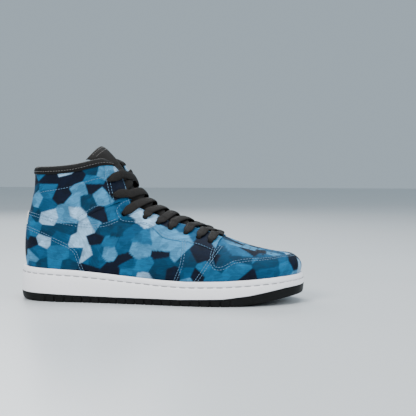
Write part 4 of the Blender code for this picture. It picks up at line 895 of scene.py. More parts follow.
def eyelet_frames(side):
    """Each eyelet's centre and normal, the nearest throat edge's, and its share of the tongue."""
    throat = on_side(EDGES[side]["throat"], side)
    edge_points, edge_normals = on_surface(throat)
    line = smooth_curve(TONGUE_LINE, 400)
    frames = []
    for station, height in EYELETS:
        rib, share = seen_from_side(station, height, side)
        centre, normal = surface(rib, share)
        k = int(np.argmin(np.linalg.norm(edge_points - centre, axis=1)))
        place = np.array([edge_points[k][0] + MIDDLE, edge_points[k][2]])
        ridge = float(np.argmin(np.linalg.norm(line - place, axis=1)) / 399)
        frames.append((centre, normal, edge_points[k], edge_normals[k], ridge))
    return frames


def ridge_at(share):
    line = smooth_curve(TONGUE_LINE, 400)
    k = min(max(int(share * 399), 1), 398)
    slope = line[k + 1] - line[k - 1]
    front = np.array([slope[1], 0, -slope[0]]) / np.linalg.norm(slope)
    station, height = line[k]
    return np.array([station - MIDDLE, float(centre_line(station)), height]), front * np.sign(front[2])


def strand(frames, side, start, heights):
    """Points of the lace from under the eyelet `start`, across the instep, to over the next one up."""
    here, there = frames[side], frames[-side]
    end = start - 1
    points = []
    for place, rise in heights:
        part = (1.65 - place) / 3.3
        ref = here if place > 0 else there
        edge = ref[start][2] * (1 - part) + ref[end][2] * part
        edge_normal = ref[start][3] * (1 - part) + ref[end][3] * part
        ridge, front = ridge_at(here[start][4] * (1 - part) + here[end][4] * part)
        reach = abs(place)
        point = ridge + (edge - ridge) * np.array([reach, reach, reach**2])
        point[0] = ridge[0] + (edge - ridge)[0] * reach**2
        normal = front * (1 - reach) + edge_normal * reach
        points.append(point + unit(normal) * rise)
    return points


def at_height(point, height):
    """The point moved straight out from the last surface to a height above it."""
    near, rib, share = nearest_place(point)
    return np.array(near) + surface(rib, min(share, 0.99))[1] * height


def laid_flat(vector, normal):
    """The direction of a vector once it lies square to the normal."""
    return unit(vector - normal * vector.dot(normal))


def through_hole(centre, normal, outside, inside):
    """Points from outside an eyelet down through it and on to a point inside, as (point, width) pairs."""
    near, far = laid_flat(outside - centre, normal), laid_flat(inside - centre, normal)
    is_far = np.linalg.norm(inside - centre) > 6
    beyond = [(at_height((inside + centre) / 2, UNDER), LACE_WIDTH)] if is_far else []
    return [(at_height(outside * 0.66 + centre * 0.34, OVER), LACE_WIDTH),
            (at_height(outside * 0.33 + centre * 0.67, OVER), LACE_WIDTH),
            (centre + near * 2.4 + normal * OVER, LACE_IN_HOLE + 0.6),
            (centre + near * 0.7 + normal * 3.9, LACE_IN_HOLE),
            (centre - near * 0.1 + normal * 2.4, LACE_IN_HOLE),
            (centre - far * 0.1 + normal * 0.4, LACE_IN_HOLE),
            (centre + far * 0.7 - normal * 1.1, LACE_IN_HOLE),
            (centre + far * 2.4 + normal * UNDER, LACE_IN_HOLE + 0.6)] + beyond


def lace_half(frames, side):
    """The lace from inside the lowest eyelet on one side up to its tucked end, as (point, width) pairs."""
    path = []
    for start in range(len(EYELETS) - 1, 0, -1):
        heights = LOW_STRAND if side < 0 else TOP_STRAND
        crossing = strand(frames, side, start, heights)
        path.extend((p, LACE_WIDTH) for p in crossing)
        side = -side
        centre, normal = frames[side][start - 1][:2]
        if start > 1:
            following = strand(frames, side, start - 1, LOW_STRAND if side < 0 else TOP_STRAND)[0]
        else:
            following = tail_points(frames, side)[0]
        path.extend(through_hole(centre, normal, crossing[-1], following))
    path.extend(zip(tail_points(frames, side), (LACE_IN_HOLE, 3.2, 2.6)))
    return path


def tail_points(frames, side):
    """The end of the lace, tucked down inside the facing behind the eyelets."""
    centre, normal = frames[side][0][:2]
    below = frames[side][1][0]
    down = unit(below - centre)
    return [centre + down * a - normal * b for a, b in ((4.5, 3.2), (7.5, 4.8), (10.5, 5.1))]


def along_throat(frames, points):
    """The direction up the row of eyelets near each point, which the lace's width follows."""
    rows = {side: np.array([frames[side][k][0] for k in range(len(EYELETS))]) for side in SIDES}
    middle = (rows[-1] + rows[1]) / 2
    result = []
    for point in points:
        share = np.clip((point[1] - centre_line(point[0] + MIDDLE)) / 56 + 0.5, 0, 1)
        slopes = np.gradient(rows[-1] * (1 - share) + rows[1] * share, axis=0)
        weight = np.exp(-(np.linalg.norm((middle - point) * (1, 0, 1), axis=1) ** 2) / 200)
        direction = (slopes * weight[:, None]).sum(0)
        result.append(unit(direction))
    return result


def twist_end(across, points):
    """Turns the band's width a quarter turn within the top eyelet, so that its tucked end lies flat."""
    inner, outer = 5, 6
    down = points[0] - points[2]
    out = points[outer] - points[inner - 1]
    flat = unit(np.cross(down, out))
    for k in range(inner + 1):
        across[k] = flat
    between = flat + across[outer] * math.copysign(1, flat.dot(across[outer + 1]) + 1e-9)
    across[outer] = unit(between)


# ---------------------------------------------------------------- the print

FACET = 15.0  # typical size of the print's facets
FACET_SLANT = np.array([[0.84, 0.36], [-0.5, 1.05]])  # turns and stretches the facets
FACET_EDGE = 1.0  # width over which one facet's tint gives way to the next
PRINT_REACH = 420.0  # half the side of the square of facets, which covers the whole upper
TINTS = np.array([NAVY] * 3 + [TEAL] * 3 + [BLUE] * 3 + [MID] * 2 + [SKY] * 2 + [PALE])
SMALL_FACET = FACET * 0.45  # size of the lighter and darker facets within them
DARKEST, SHADE_RANGE = 0.78, 0.44  # how those change the tint
TINT_SEED, SHADE_SEED = 7, 11


def facet_centres(size, seed):
    """Scattered facet centres, one near each point of a square grid, and a random number for each."""
    draw = np.random.default_rng(seed)
    line = np.arange(-PRINT_REACH, PRINT_REACH, size)
    centres = np.stack(np.meshgrid(line, line), -1).reshape(-1, 2)
    return centres + draw.uniform(-0.5, 0.5, centres.shape) * size, draw.random(len(centres))


def nearest_facets(points, size, seed):
    """The random numbers of each point's two nearest facets, and its distance to the line between them."""
    centres, values = facet_centres(size, seed)
    tree = KDTree(len(centres))
    for k, centre in enumerate(centres):
        tree.insert((*centre, 0), k)
    tree.balance()
    found = [tree.find_n((*point, 0), 2) for point in points]
    first, second = (np.array([pair[n][1] for pair in found]) for n in (0, 1))
    near, far = (np.array([pair[n][2] for pair in found]) for n in (0, 1))
    apart = np.linalg.norm(centres[first] - centres[second], axis=1)
    return values[first], values[second], (far**2 - near**2) / (2 * apart)


def painted(points):
    """The print's colour at each place: facets in a few blues, broken into lighter and darker ones."""
    slanted = points @ FACET_SLANT
    here, beyond, inside = nearest_facets(slanted, FACET, TINT_SEED)
    share = np.clip(0.5 + inside / FACET_EDGE, 0, 1)[:, None]
    tint, other = (TINTS[(value * len(TINTS)).astype(int)] for value in (here, beyond))
    shade = DARKEST + SHADE_RANGE * nearest_facets(slanted, SMALL_FACET, SHADE_SEED)[0]
    return (tint * share + other * (1 - share)) * shade[:, None]


# ---------------------------------------------------------------- mesh pieces


MATERIAL = {
    "print": print_material(),
    "lace": lace_material(),
    "tongue": woven_black("tongue_cloth", linear(12, 11, 11), linear(50, 46, 43), 0.7, 0.6, 0.12),
    "binding": woven_black("binding_cloth", linear(4, 4, 5), linear(26, 24, 24), 0.6, 0.58, 0.12),
    "lining": woven_black("lining_mesh", linear(10, 10, 11), linear(34, 33, 33), 1.2, 0.8, 0.3),
    "cupsole": rubber_material("white_rubber", linear(253, 250, 253), linear(228, 225, 227), 0.46, 0.06),
    "outsole": rubber_material("black_rubber", linear(3, 3, 3), linear(14, 14, 14), 0.55, 0.2, 0.2),
    "thread": thread_material("light_thread", linear(92, 134, 164), linear(38, 74, 104)),
    "sole_thread": thread_material("sole_thread", linear(176, 174, 178), linear(120, 118, 120)),
    "dark_thread": thread_material("dark_thread", linear(96, 92, 90), linear(48, 46, 45)),
    # dark punched edges; on the toe box's perforations the same dark stands in for uncut holes as painted
    # shade
    "hole": plain_grain("punched_edge_and_hole_shade", linear(14, 18, 30), linear(6, 8, 14), 1.5, 0.85, 0.1),
    "tab": plain_grain("white_leather", linear(236, 234, 232), linear(212, 208, 204), 1.2, 0.5, 0.12),
    "foam": plain_grain("grey_foam", linear(150, 148, 140), linear(110, 108, 102), 1.5, 0.9, 0.3),
    "board": plain_grain("fibre_board", linear(186, 164, 128), linear(150, 128, 96), 0.8, 0.9, 0.15),
    "plastic": plain_grain("aglet_plastic", linear(26, 26, 28), linear(44, 44, 46), 0.5, 0.3, 0.02),
    "footbed": woven_black("footbed_cloth", linear(34, 33, 34), linear(72, 69, 68), 0.9, 0.85, 0.2),
}


def link(name, data):
    """A new object in the scene."""
    made = bpy.data.objects.new(name, data)
    bpy.context.scene.collection.objects.link(made)
    return made


def add_piece(name, points, faces, look, cloth=None, colour=None, rim=None, merge=0.004, sharp=40):
    """A mesh object from points in millimetres, with its cloth coordinates, print colour and edge shade."""
    mesh = bpy.data.meshes.new(name)
    points = np.asarray(points, float).reshape(-1, 3)
    mesh.from_pydata((points * MM).tolist(), [], faces)
    if cloth is not None:
        corners = np.zeros(len(mesh.loops), int)
        mesh.loops.foreach_get("vertex_index", corners)
        layer = mesh.uv_layers.new(name="cloth")
        layer.data.foreach_set("uv", np.asarray(cloth, float).reshape(-1, 2)[corners].ravel())
    if colour is not None:
        paint = mesh.color_attributes.new("print", "FLOAT_COLOR", "POINT")
        paint.data.foreach_set("color", np.column_stack([colour, np.ones(len(colour))]).ravel())
    if rim is not None:
        shade = mesh.attributes.new("rim", "FLOAT", "POINT")
        shade.data.foreach_set("value", np.asarray(rim, float).ravel())
    bm = bmesh.new()
    bm.from_mesh(mesh)
    bmesh.ops.remove_doubles(bm, verts=bm.verts, dist=merge * MM)
    bmesh.ops.dissolve_degenerate(bm, edges=bm.edges, dist=merge * MM)
    bmesh.ops.recalc_face_normals(bm, faces=bm.faces)
    if bm.calc_volume(signed=True) < 0:
        bmesh.ops.reverse_faces(bm, faces=bm.faces)
    bm.to_mesh(mesh)
    bm.free()
    mesh.shade_smooth()
    mesh.set_sharp_from_angle(angle=math.radians(sharp))
    mesh.materials.append(MATERIAL[look])
    return link(name, mesh)


def settle(piece, slot, *nodes, body="shoe"):
    """Rides the piece on its body, in place of the CAD nodes that it stands for."""
    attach(piece, body)
    if nodes:
        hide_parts(*nodes)
    return piece


def grid_lengths(points):
    """Distances over a grid of points along its rows and its columns, from each side."""
    u = np.linalg.norm(np.diff(points, axis=0), axis=-1)
    v = np.linalg.norm(np.diff(points, axis=1), axis=-1)
    u = np.concatenate([np.zeros((1, points.shape[1])), np.cumsum(u, 0)])
    v = np.concatenate([np.zeros((points.shape[0], 1)), np.cumsum(v, 1)], 1)
    return u, v


STEP = 0.85  # mesh spacing on the panels
RIM = 0.9  # how far a cut edge rounds over
UNDERLAP = 3.0  # how far a panel runs on beneath its neighbour
COVERED = 9  # added to the distance from an edge that runs beneath a neighbour, so that it stays flat


def spaced(length):
    """Shares across a panel, close together where its edges round over."""
    count = max(3, int(round((length - 2 * RIM) / STEP)))
    edge = RIM * np.array([0, 0.1, 0.33, 0.65])
    rim = min(RIM, length * 0.2)
    edge = edge * rim / RIM
    return np.concatenate([edge, np.linspace(rim, length - rim, count), (length - edge)[::-1]]) / length


def curve_length(curve):
    return np.linalg.norm(np.diff(on_surface(curve)[0], axis=0), axis=1).sum()


def fine_patch(edges, height=None):
    """Places over a four-sided panel, finely spaced. A set height gives two halves the same columns."""
    low, high, left, right = edges
    u = spaced((curve_length(low) + curve_length(high)) / 2)
    v = spaced(height or (curve_length(left) + curve_length(right)) / 2)
    low, high, left, right = resample(low, u), resample(high, u), resample(left, v), resample(right, v)
    uu, vv = u[:, None, None], v[None, :, None]
    ruled = low[:, None] * (1 - vv) + high[:, None] * vv
    sides = left[None] * (1 - uu) + right[None] * uu
    corners = (low[0] * (1 - uu) + low[-1] * uu) * (1 - vv) + (high[0] * (1 - uu) + high[-1] * uu) * vv
    return ruled + sides - corners


def extend(places, reach, end):
    """Adds rows that carry the grid on past its first (0) or last (-1) row by the reach, in millimetres."""
    inner = 4 if end == 0 else -5
    edge, within = places[end], places[inner]
    span = np.linalg.norm(on_surface(edge)[0] - on_surface(within)[0], axis=1)
    step = (edge - within) / np.maximum(span, 0.3)[:, None] * reach[:, None]
    added = [edge + step * part for part in (0.12, 0.5, 1.0)]
    if end == 0:
        return np.concatenate([np.array(added[::-1]), places])
    return np.concatenate([places, np.array(added)])


def widen(places, under):
    """The places with rows added beneath the neighbours, and each edge's share of cover for the old grid."""
    rows, columns = places.shape[:2]
    shares = [np.clip(np.broadcast_to(np.asarray(f, float), n), 0, 1)
              for f, n in zip(under, (rows, rows, columns, columns))]
    low, high, left, right = shares
    wide = extend(extend(places, left * UNDERLAP, 0), right * UNDERLAP, -1)
    pad = (3, 3)
    low, high = np.pad(low, pad, mode="edge"), np.pad(high, pad, mode="edge")
    turned = wide.transpose(1, 0, 2)
    turned = extend(extend(turned, low * UNDERLAP, 0), high * UNDERLAP, -1)
    left, right = np.pad(left, pad, mode="edge"), np.pad(right, pad, mode="edge")
    return turned.transpose(1, 0, 2), (low, high, left, right)


def rounding(points, covers):
    """For each point, 0 at a cut edge that shows to 1 from RIM inwards, and its distance from that edge."""
    low, high, left, right = covers
    u, v = grid_lengths(points)
    inset_u, inset_v = u - u[3], v - v[:, 3:4]
    far_u, far_v = u[-4] - u, v[:, -4:-3] - v
    insets = ((inset_v, low[:, None]), (far_v, high[:, None]), (inset_u, left[None]), (far_u, right[None]))
    nearest = np.minimum.reduce([np.maximum(inset, 0) + COVERED * (cover > 0.5) for inset, cover in insets])
    return np.clip(nearest / RIM, 0, 1), nearest


HEEL_UNROLL = [(0, -20), (0.5, -9), (1, -3), (1.5, -0.7), (2, 0)]  # rib, and what unrolling adds there
TOE_UNROLL = [(10.5, 0), (12, 4), (13, 10.3), (14, 24.6)]
MEDIAL_SHIFT = 22.0  # how much further back the toe cap's print lies on the medial side


def print_places(kind, places, flat):
    """Where each point of a panel lies on its print."""
    station = flat[..., 0] + MIDDLE
    if kind == "toe_box":
        return np.stack([station, centre_line(station) - flat[..., 1]], -1)
    rib = np.abs(places[..., 0])
    medial = smooth(rib, TOE, TOE + 2) * (1 - smooth(rib, LOOP - 3, LOOP - 2))
    near = np.minimum(rib, LOOP - rib)
    station = station + along(HEEL_UNROLL, near) + along(TOE_UNROLL, near)
    if kind == "toe_cap":
        station = station - MEDIAL_SHIFT * medial
    return np.stack([station, flat[..., 2]], -1)


def panel_piece(name, places, kind, under, side=-1):
    """A leather panel with rounded cut edges, which runs on beneath the panels that cover its edges."""
    wide, covers = widen(places, under)
    if side > 0:
        wide = mirror_places(wide)
    flat = on_surface(wide)[0]
    near, inset = rounding(flat, covers)
    top = THICK[kind]
    crown = 0.16 * np.exp(-(((inset - 1.8) / 0.7) ** 2))
    outer = 0.25 + (top - 0.25) * np.sqrt(near * (2 - near)) - crown
    front = offset_surface(wide[..., 0], wide[..., 1], outer)
    back = offset_surface(wide[..., 0], wide[..., 1], np.full(outer.shape, 0.2))
    u, v = grid_lengths(flat)
    cloth = np.stack([u, v], -1)
    colour = painted(print_places(kind, wide, flat).reshape(-1, 2))
    rows, columns = wide.shape[:2]
    # The back face takes the print darkened to 0.3 and the full edge darkening: painted shade on the panel's
    # hidden underside.
    return add_piece(name, np.stack([front, back]), shell_faces(rows, columns), "print",
                     np.stack([cloth, cloth]), np.vstack([colour, colour * 0.3]),
                     np.stack([1 - near, np.ones(near.shape)]))


def cover_along(low, high, edge, test):
    """Whether a panel's long edge runs beneath a neighbour, at each of its rows."""
    u = spaced((curve_length(low) + curve_length(high)) / 2)
    places = resample(edge, u)
    points = on_surface(places)[0]
    return np.array([1.0 if test(p[0] + MIDDLE, p[2]) else 0.0 for p in points])


def side_panels():
    """The panels that come in a lateral and a medial copy."""
    for side, side_name in SIDES.items():
        edges = EDGES[side]
        stay_start = 110.5
        quarter = edges["quarter"]
        under_stay = cover_along(quarter[0], quarter[1], quarter[1], lambda s, z: s > stay_start)
        rules = {
            "ankle_panel": (1, 0, 0, 1), "gusset": (1, 1, 0, 1), "quarter": (1, under_stay, 0, 1),
            "facing": (1, 1, 0, 0), "eyestay": (0, 0, 0, 1), "vamp_wing": (1, 1, 0, 1),
        }
        for kind, under in rules.items():
            piece = panel_piece(f"{kind}_{side_name}_panel", fine_patch(edges[kind]), kind, under, side)
            settle(piece, "printed_leather", f"{kind}_{side_name}")
            if kind in ("facing", "eyestay"):
                punch_eyelets(piece, kind, side)


def across_heel(halves):
    """One grid of places from a medial and a lateral half that meet at the heel."""
    return np.concatenate([mirror_ribs(halves[1])[::-1], halves[-1][1:]])


def wrap_panels():
    """The collar panel, heel overlay and toe cap, which run from one side round to the other."""
    collar = {side: fine_patch(EDGES[side]["collar_panel"], 20.0) for side in SIDES}
    settle(panel_piece("collar_panel_print", across_heel(collar), "collar_panel", (1, 1, 1, 1)),
           "printed_leather", "collar_panel")
    heel, caps = {}, {}
    for side in SIDES:
        s = EDGES[side]["seams"]
        low = sole_line(0.0, s["heel_front"][-1, 0])
        left = straight((0.0, 0.0), s["heel_top"][0])
        heel[side] = fine_patch((low, s["heel_top"], left, s["heel_front"][::-1]), 46.0)
        low = sole_line(s["cap_rear"][0, 0], TOE)
        high = join(s["window_rear"], s["window_side"], s["window_front"])
        right = straight((TOE, 0.0), s["window_front"][-1])
        caps[side] = fine_patch((low, high, s["cap_rear"], right), 32.0)
    settle(panel_piece("heel_overlay_panel", across_heel(heel), "heel_overlay", (1, 0, 0, 0)),
           "printed_leather", "heel_overlay")
    both = np.concatenate([caps[-1], mirror_places(caps[1])[::-1][1:]])
    settle(panel_piece("toe_cap_panel", both, "toe_cap", (1, 0, 0, 0)), "printed_leather", "toe_cap")


def toe_box_piece():
    """The toe box between the eyestays and the toe cap, from one side across the ridge to the other."""
    first = EDGES[-1]["seams"]["window_rear"][:, 0].min() - 0.5
    ribs = np.linspace(first, TOE - 0.02, 74)
    rows = []
    for rib in ribs:
        lateral = np.linspace(window_edge(rib, -1) - 0.05, 0.9985, 36)
        medial = np.linspace(0.9985, window_edge(rib, 1) - 0.05, 36)[1:]
        rows.append([(rib, share) for share in lateral] + [(LOOP - rib, share) for share in medial])
    piece = panel_piece("toe_box_panel", np.array(rows), "toe_box", (1, 1, 1, 1))
    settle(piece, "printed_leather", "toe_box")


# ---------------------------------------------------------------- stitches, eyelets and perforations

STITCH_PITCH = 3.0
STITCH_LENGTH = 2.2
THREAD_RADIUS = 0.27
FINE_MERGE = 0.0001  # merging distance for small meshes


def projected(targets, height):
    """Targets dropped onto the upper, as points at a height above it and normals."""
    places = np.array([nearest_place(target)[1:] for target in targets])
    point, normal = surface(places[:, 0], np.clip(places[:, 1], 0, 0.998))
    return point + normal * height, normal


def run_beside(curve, distance, side, height):
    """A line of points beside a seam: left of its run on the lateral side where the distance is positive."""
    places = on_side(resample(curve, np.linspace(0, 1, max(8, int(curve_length(curve) / 2.5)))), side)
    point, normal = on_surface(places)
    ahead = np.gradient(point, axis=0)
    across = np.cross(normal, ahead)
    across /= np.maximum(np.linalg.norm(across, axis=1, keepdims=True), 1e-9)
    return projected(point - across * side * distance, height)


def stitch_mesh(runs, pitch=STITCH_PITCH, length=STITCH_LENGTH, radius=THREAD_RADIUS):
    """Points and faces of every stitch along the runs: short bowed threads with their ends in the leather."""
    sides = np.linspace(0, 2 * math.pi, 6, endpoint=False)
    shape = [(0, -0.35, 0.8), (0.14, 0.05, 1), (0.5, 0.16, 1.05), (0.86, 0.05, 1), (1, -0.35, 0.8)]
    points, faces = [], []
    for line, normal in runs:
        path = run_length(line)
        for k in range(int(path[-1] / pitch)):
            start = (k + 0.5) * pitch - length / 2
            rings = [(start + length * part, drop, swell) for part, drop, swell in shape]
            at = np.array([[np.interp(r[0], path, line[:, c]) for c in range(3)] for r in rings])
            up = np.array([[np.interp(r[0], path, normal[:, c]) for c in range(3)] for r in rings])
            across = np.cross(up, unit(at[-1] - at[0]))
            base = len(points)
            for j, (_, drop, swell) in enumerate(rings):
                for t in sides:
                    points.append(at[j] + up[j] * drop + (across[j] * math.cos(t) + up[j] * math.sin(t))
                                  * radius * swell)
            faces.extend(ring_faces(base, 5, 6))
    return np.array(points), faces


def add_stitches(name, runs, look, **sizes):
    """The stitches along the runs, as one piece."""
    points, faces = stitch_mesh(runs, **sizes)
    return add_piece(name, points, faces, look, merge=FINE_MERGE)


def ring_faces(base, rings, sides):
    """Faces of a tube of rings, with its ends closed."""
    faces = []
    for i in range(rings - 1):
        for j in range(sides):
            n = (j + 1) % sides
            faces.append((base + i * sides + j, base + i * sides + n, base + (i + 1) * sides + n,
                          base + (i + 1) * sides + j))
    faces.append(tuple(base + j for j in reversed(range(sides))))
    faces.append(tuple(base + (rings - 1) * sides + j for j in range(sides)))
    return faces


# The seams that are sewn: (seam, the panel whose edge is sewn, distances beside the seam).
SEWN_SEAMS = [
    ("collar", "ankle_panel", (-1.8,)), ("band", "quarter", (-1.8, -4.6)),
    ("gusset_top", "ankle_panel", (1.8,)), ("gusset_low", "quarter", (-1.8, -4.6)),
    ("heel_top", "heel_overlay", (-1.8, -4.4)), ("heel_front", "heel_overlay", (-1.8, -4.4)),
    ("facing_rear", "facing", (1.8, 4.8)),
    ("stay_rear", "eyestay", (1.8,)), ("stay_low", "eyestay", (1.8,)), ("throat_high", "facing", (-1.8,)),
    ("throat_low", "eyestay", (-1.8,)), ("wing_rear", "vamp_wing", (1.8, 4.4)),
    ("cap_rear", "toe_cap", (-1.8, -4.4)),
]


def add_seam_stitches():
    for side, side_name in SIDES.items():
        seams = EDGES[side]["seams"]
        runs = []
        for seam_name, kind, distances in SEWN_SEAMS:
            runs += [run_beside(seams[seam_name], d, side, THICK[kind] + 0.04) for d in distances]
        window = join(seams["window_rear"], seams["window_side"], seams["window_front"])
        runs += [run_beside(window, d, side, THICK["toe_cap"] + 0.04) for d in (-1.8, -4.2)]
        settle(add_stitches(f"seam_stitches_{side_name}", runs, "thread"), "sole_thread")


def eyelet_centres(side):
    found = []
    for station, height in EYELETS:
        rib, share = seen_from_side(station, height, side)
        found.append(surface(rib, share))
    return found


def punch_eyelets(piece, kind, side):
    """Cuts a panel's eyelet holes."""
    for k, (centre, normal) in enumerate(eyelet_centres(side)):
        if (k < 2) != (kind == "facing"):
            continue
        mesh = bpy.data.meshes.new(f"punch_{side}_{k}")
        bm = bmesh.new()
        bmesh.ops.create_cone(bm, cap_ends=True, segments=24, radius1=EYELET_RADIUS * MM,
                              radius2=EYELET_RADIUS * MM, depth=12 * MM)
        turn = Vector((0, 0, 1)).rotation_difference(Vector(normal)).to_matrix().to_4x4()
        bmesh.ops.transform(bm, matrix=turn, verts=bm.verts)
        bmesh.ops.translate(bm, vec=Vector(centre) * MM, verts=bm.verts)
        bm.to_mesh(mesh)
        bm.free()
        mesh.materials.append(MATERIAL["hole"])
        cut_with(piece, link(f"punch_{side}_{k}", mesh))
    repaint(piece, side)


def repaint(piece, side):
    """Paints a punched panel again by where its points lie, with a dark edge round each hole."""
    mesh = piece.data
    points = np.zeros(len(mesh.vertices) * 3)
    mesh.vertices.foreach_get("co", points)
    points = points.reshape(-1, 3) / MM
    colour = painted(points[:, [0, 2]] + (MIDDLE, 0))
    paint = mesh.color_attributes["print"]
    paint.data.foreach_set("color", np.column_stack([colour, np.ones(len(colour))]).ravel())
    rim = np.zeros(len(points))
    mesh.attributes["rim"].data.foreach_get("value", rim)
    for centre, _ in eyelet_centres(side):
        rim = np.maximum(rim, np.linalg.norm(points - centre, axis=1) < EYELET_RADIUS + 1.4)
    mesh.attributes["rim"].data.foreach_set("value", rim)


def cut_with(piece, punch):
    """Applies one Boolean cut to the piece and removes the cutter."""
    modifier = piece.modifiers.new("cut", "BOOLEAN")
    modifier.operation = "DIFFERENCE"
    modifier.solver = "EXACT"
    modifier.object = punch
    bpy.context.view_layer.update()
    graph = bpy.context.evaluated_depsgraph_get()
    mesh = bpy.data.meshes.new_from_object(piece.evaluated_get(graph), depsgraph=graph)
    piece.modifiers.clear()
    piece.data = mesh
    bpy.data.objects.remove(punch, do_unlink=True)


PERFORATION_ROWS = [(229, (6, 14)), (236.5, (2, 10, 18, 26)), (244, (6, 14, 22, 30)),
                    (251.5, (2, 10, 18, 26)), (259, (6, 14, 22, 29)), (266.5, (2, 10, 18)), (273, (5, 12))]
PERFORATION_RADIUS = 1.0


def add_perforations():
    """The toe box's punched air holes: small dark cups with a pressed rim. No hole is cut; the cups' dark
    colour is the punched edge's own and painted shade for the hole's depth.
    """
    points, faces = [], []
    turns = np.linspace(0, 2 * math.pi, 12, endpoint=False)
    shape = [(1.35, -0.1), (1.15, 0.12), (1.0, 0.13), (0.85, 0.07), (0.02, 0.06)]
    for station, rows in PERFORATION_ROWS:
        for across in rows:
            for side in SIDES:
                rib, share = seen_from_above(station, side * across)
                point, normal = surface(rib, min(share, 0.998))
                along_x = np.cross((0, 1, 0), normal)
                along_y = np.cross(normal, along_x)
                base = len(points)
                for radius, height in shape:
                    for t in turns:
                        out = (along_x * math.cos(t) + along_y * math.sin(t)) * radius * PERFORATION_RADIUS
                        points.append(point + normal * (THICK["toe_box"] + height) + out)
                faces.extend(ring_faces(base, 5, 12))
    piece = add_piece("toe_perforations", np.array(points), faces, "hole", merge=FINE_MERGE)
    settle(piece, "printed_leather")


# ---------------------------------------------------------------- collar, lining and tongue


def grid_piece(name, grids, look, **options):
    """A closed shell over two grids of points, with cloth coordinates from its own lengths."""
    u, v = grid_lengths(grids[0])
    cloth = np.stack([u, v], -1)
    rows, columns = grids[0].shape[:2]
    return add_piece(name, np.stack(grids), shell_faces(rows, columns), look, np.stack([cloth, cloth]),
                     **options)


def add_quarter_lining():
    """The textile lining, with the padded collar swelling inward near the top."""
    front = [4.25, 4.35, 4.5, 4.8, 5.1, 5.4, 5.7, 6.0, 6.35, 6.7, 7.05, 7.4, 7.75, 8.1, 8.45, 8.8]
    ribs = np.concatenate([-np.array(front[::-1]), np.linspace(-LINING_FRONT, LINING_FRONT, 73), front])

    def soft_depth(height):
        puff = 1.3 * np.exp(-(((height - 116) / 12) ** 2)) - 0.5 * np.exp(-(((height - 99) / 2.2) ** 2))
        return -lining_depth(height) - puff

    grids = shell_grid(ribs, lambda r: 0.012, lambda r: lining_top(abs(r)), 58, lambda z: -lining_depth(z),
                       lambda z: soft_depth(z) - LINING_THICK)
    piece = grid_piece("quarter_lining_cloth", grids[::-1], "lining")
    settle(piece, "lining", "quarter_lining")


def power(value, exponent):
    """A power that keeps the value's sign."""
    return math.copysign(abs(value) ** exponent, value)


def add_collar_binding():
    """A padded roll over the top edges of the panels, foam and lining, gathered slightly by its seam."""
    last = EDGES[-1]["seams"]["throat_high"][0, 0] - 0.02
    ribs = np.linspace(-last, last, 221)
    depth = LINING_DEPTH + FOAM_THICK + LINING_THICK
    outward, inward = THICK["collar_panel"] + 1.1, -depth + 0.2
    turns = np.linspace(-0.12 * math.pi, 1.12 * math.pi, 30)
    rows = []
    for rib in ribs:
        point, normal, up = collar_frame(rib)
        taper = 0.55 + 0.45 * float(smooth(last - abs(rib), 0, 0.7))
        end = math.sqrt(float(np.clip((last - abs(rib)) / 0.05, 0.02, 1)))
        inner = inward + (-1.2 - inward) * float(smooth(abs(rib), LINING_FRONT, last))
        outer = outward + (THICK["facing"] - THICK["collar_panel"]) * float(smooth(abs(rib), 3.9, 4.3))
        middle, half = (outer + inner) / 2, (outer - inner) / 2
        gather = 1 + 0.012 * math.sin(rib * 61) + 0.01 * math.sin(rib * 37 + 1)
        rows.append([point + normal * (middle + half * power(math.cos(t), 0.8) * gather)
                     + up * (0.4 + BINDING_HEIGHT * end * taper * gather * power(math.sin(t), 0.85))
                     for t in turns])
    rows = np.array(rows)
    u, v = grid_lengths(rows)
    faces = ring_faces(0, len(ribs), len(turns))
    piece = add_piece("collar_binding_roll", rows, faces, "binding", np.stack([u, v], -1), sharp=60)
    settle(piece, "binding", "collar_binding")
    line, normals = [], []
    for rib in np.linspace(-last + 0.05, last - 0.05, 200):
        point, normal, up = collar_frame(rib)
        extra = (THICK["facing"] - THICK["collar_panel"]) * float(smooth(abs(rib), 3.9, 4.3))
        line.append(point + normal * (outward + extra + 0.02) + up * 1.1)
        normals.append(normal)
    runs = [(np.array(line), np.array(normals))]
    settle(add_stitches("binding_stitches", runs, "dark_thread", radius=0.28), "sole_thread")


WHOLE_LINE = TONGUE_LINE[:-1] + FLAP_LINE
WHOLE_EDGE = TONGUE_EDGE[:-1] + [(83.3, 142.5)] + FLAP_EDGE[1:]
WHOLE_HALF = [(0, 13), (0.25, 20), (0.5, 22), (0.66, 20.5), (0.82, 19.2), (1, 20.5)]


def tongue_surface():
    """The tongue's front grid, its inward direction and each row's share of the length."""
    front, inward, share = tongue_grid(WHOLE_LINE, WHOLE_EDGE, WHOLE_HALF, 120, 41)
    low = int(np.argmax(front[:, 20, 2] > TONGUE_HINGE[1]))
    body = front[:low].copy()
    press_under(body, share[:low] / 0.8)
    shift = body - front[:low]
    fade = 1 - smooth(np.arange(low), low - 14, low - 1)
    front[:low] += shift * fade[:, None, None]
    return front, inward, share


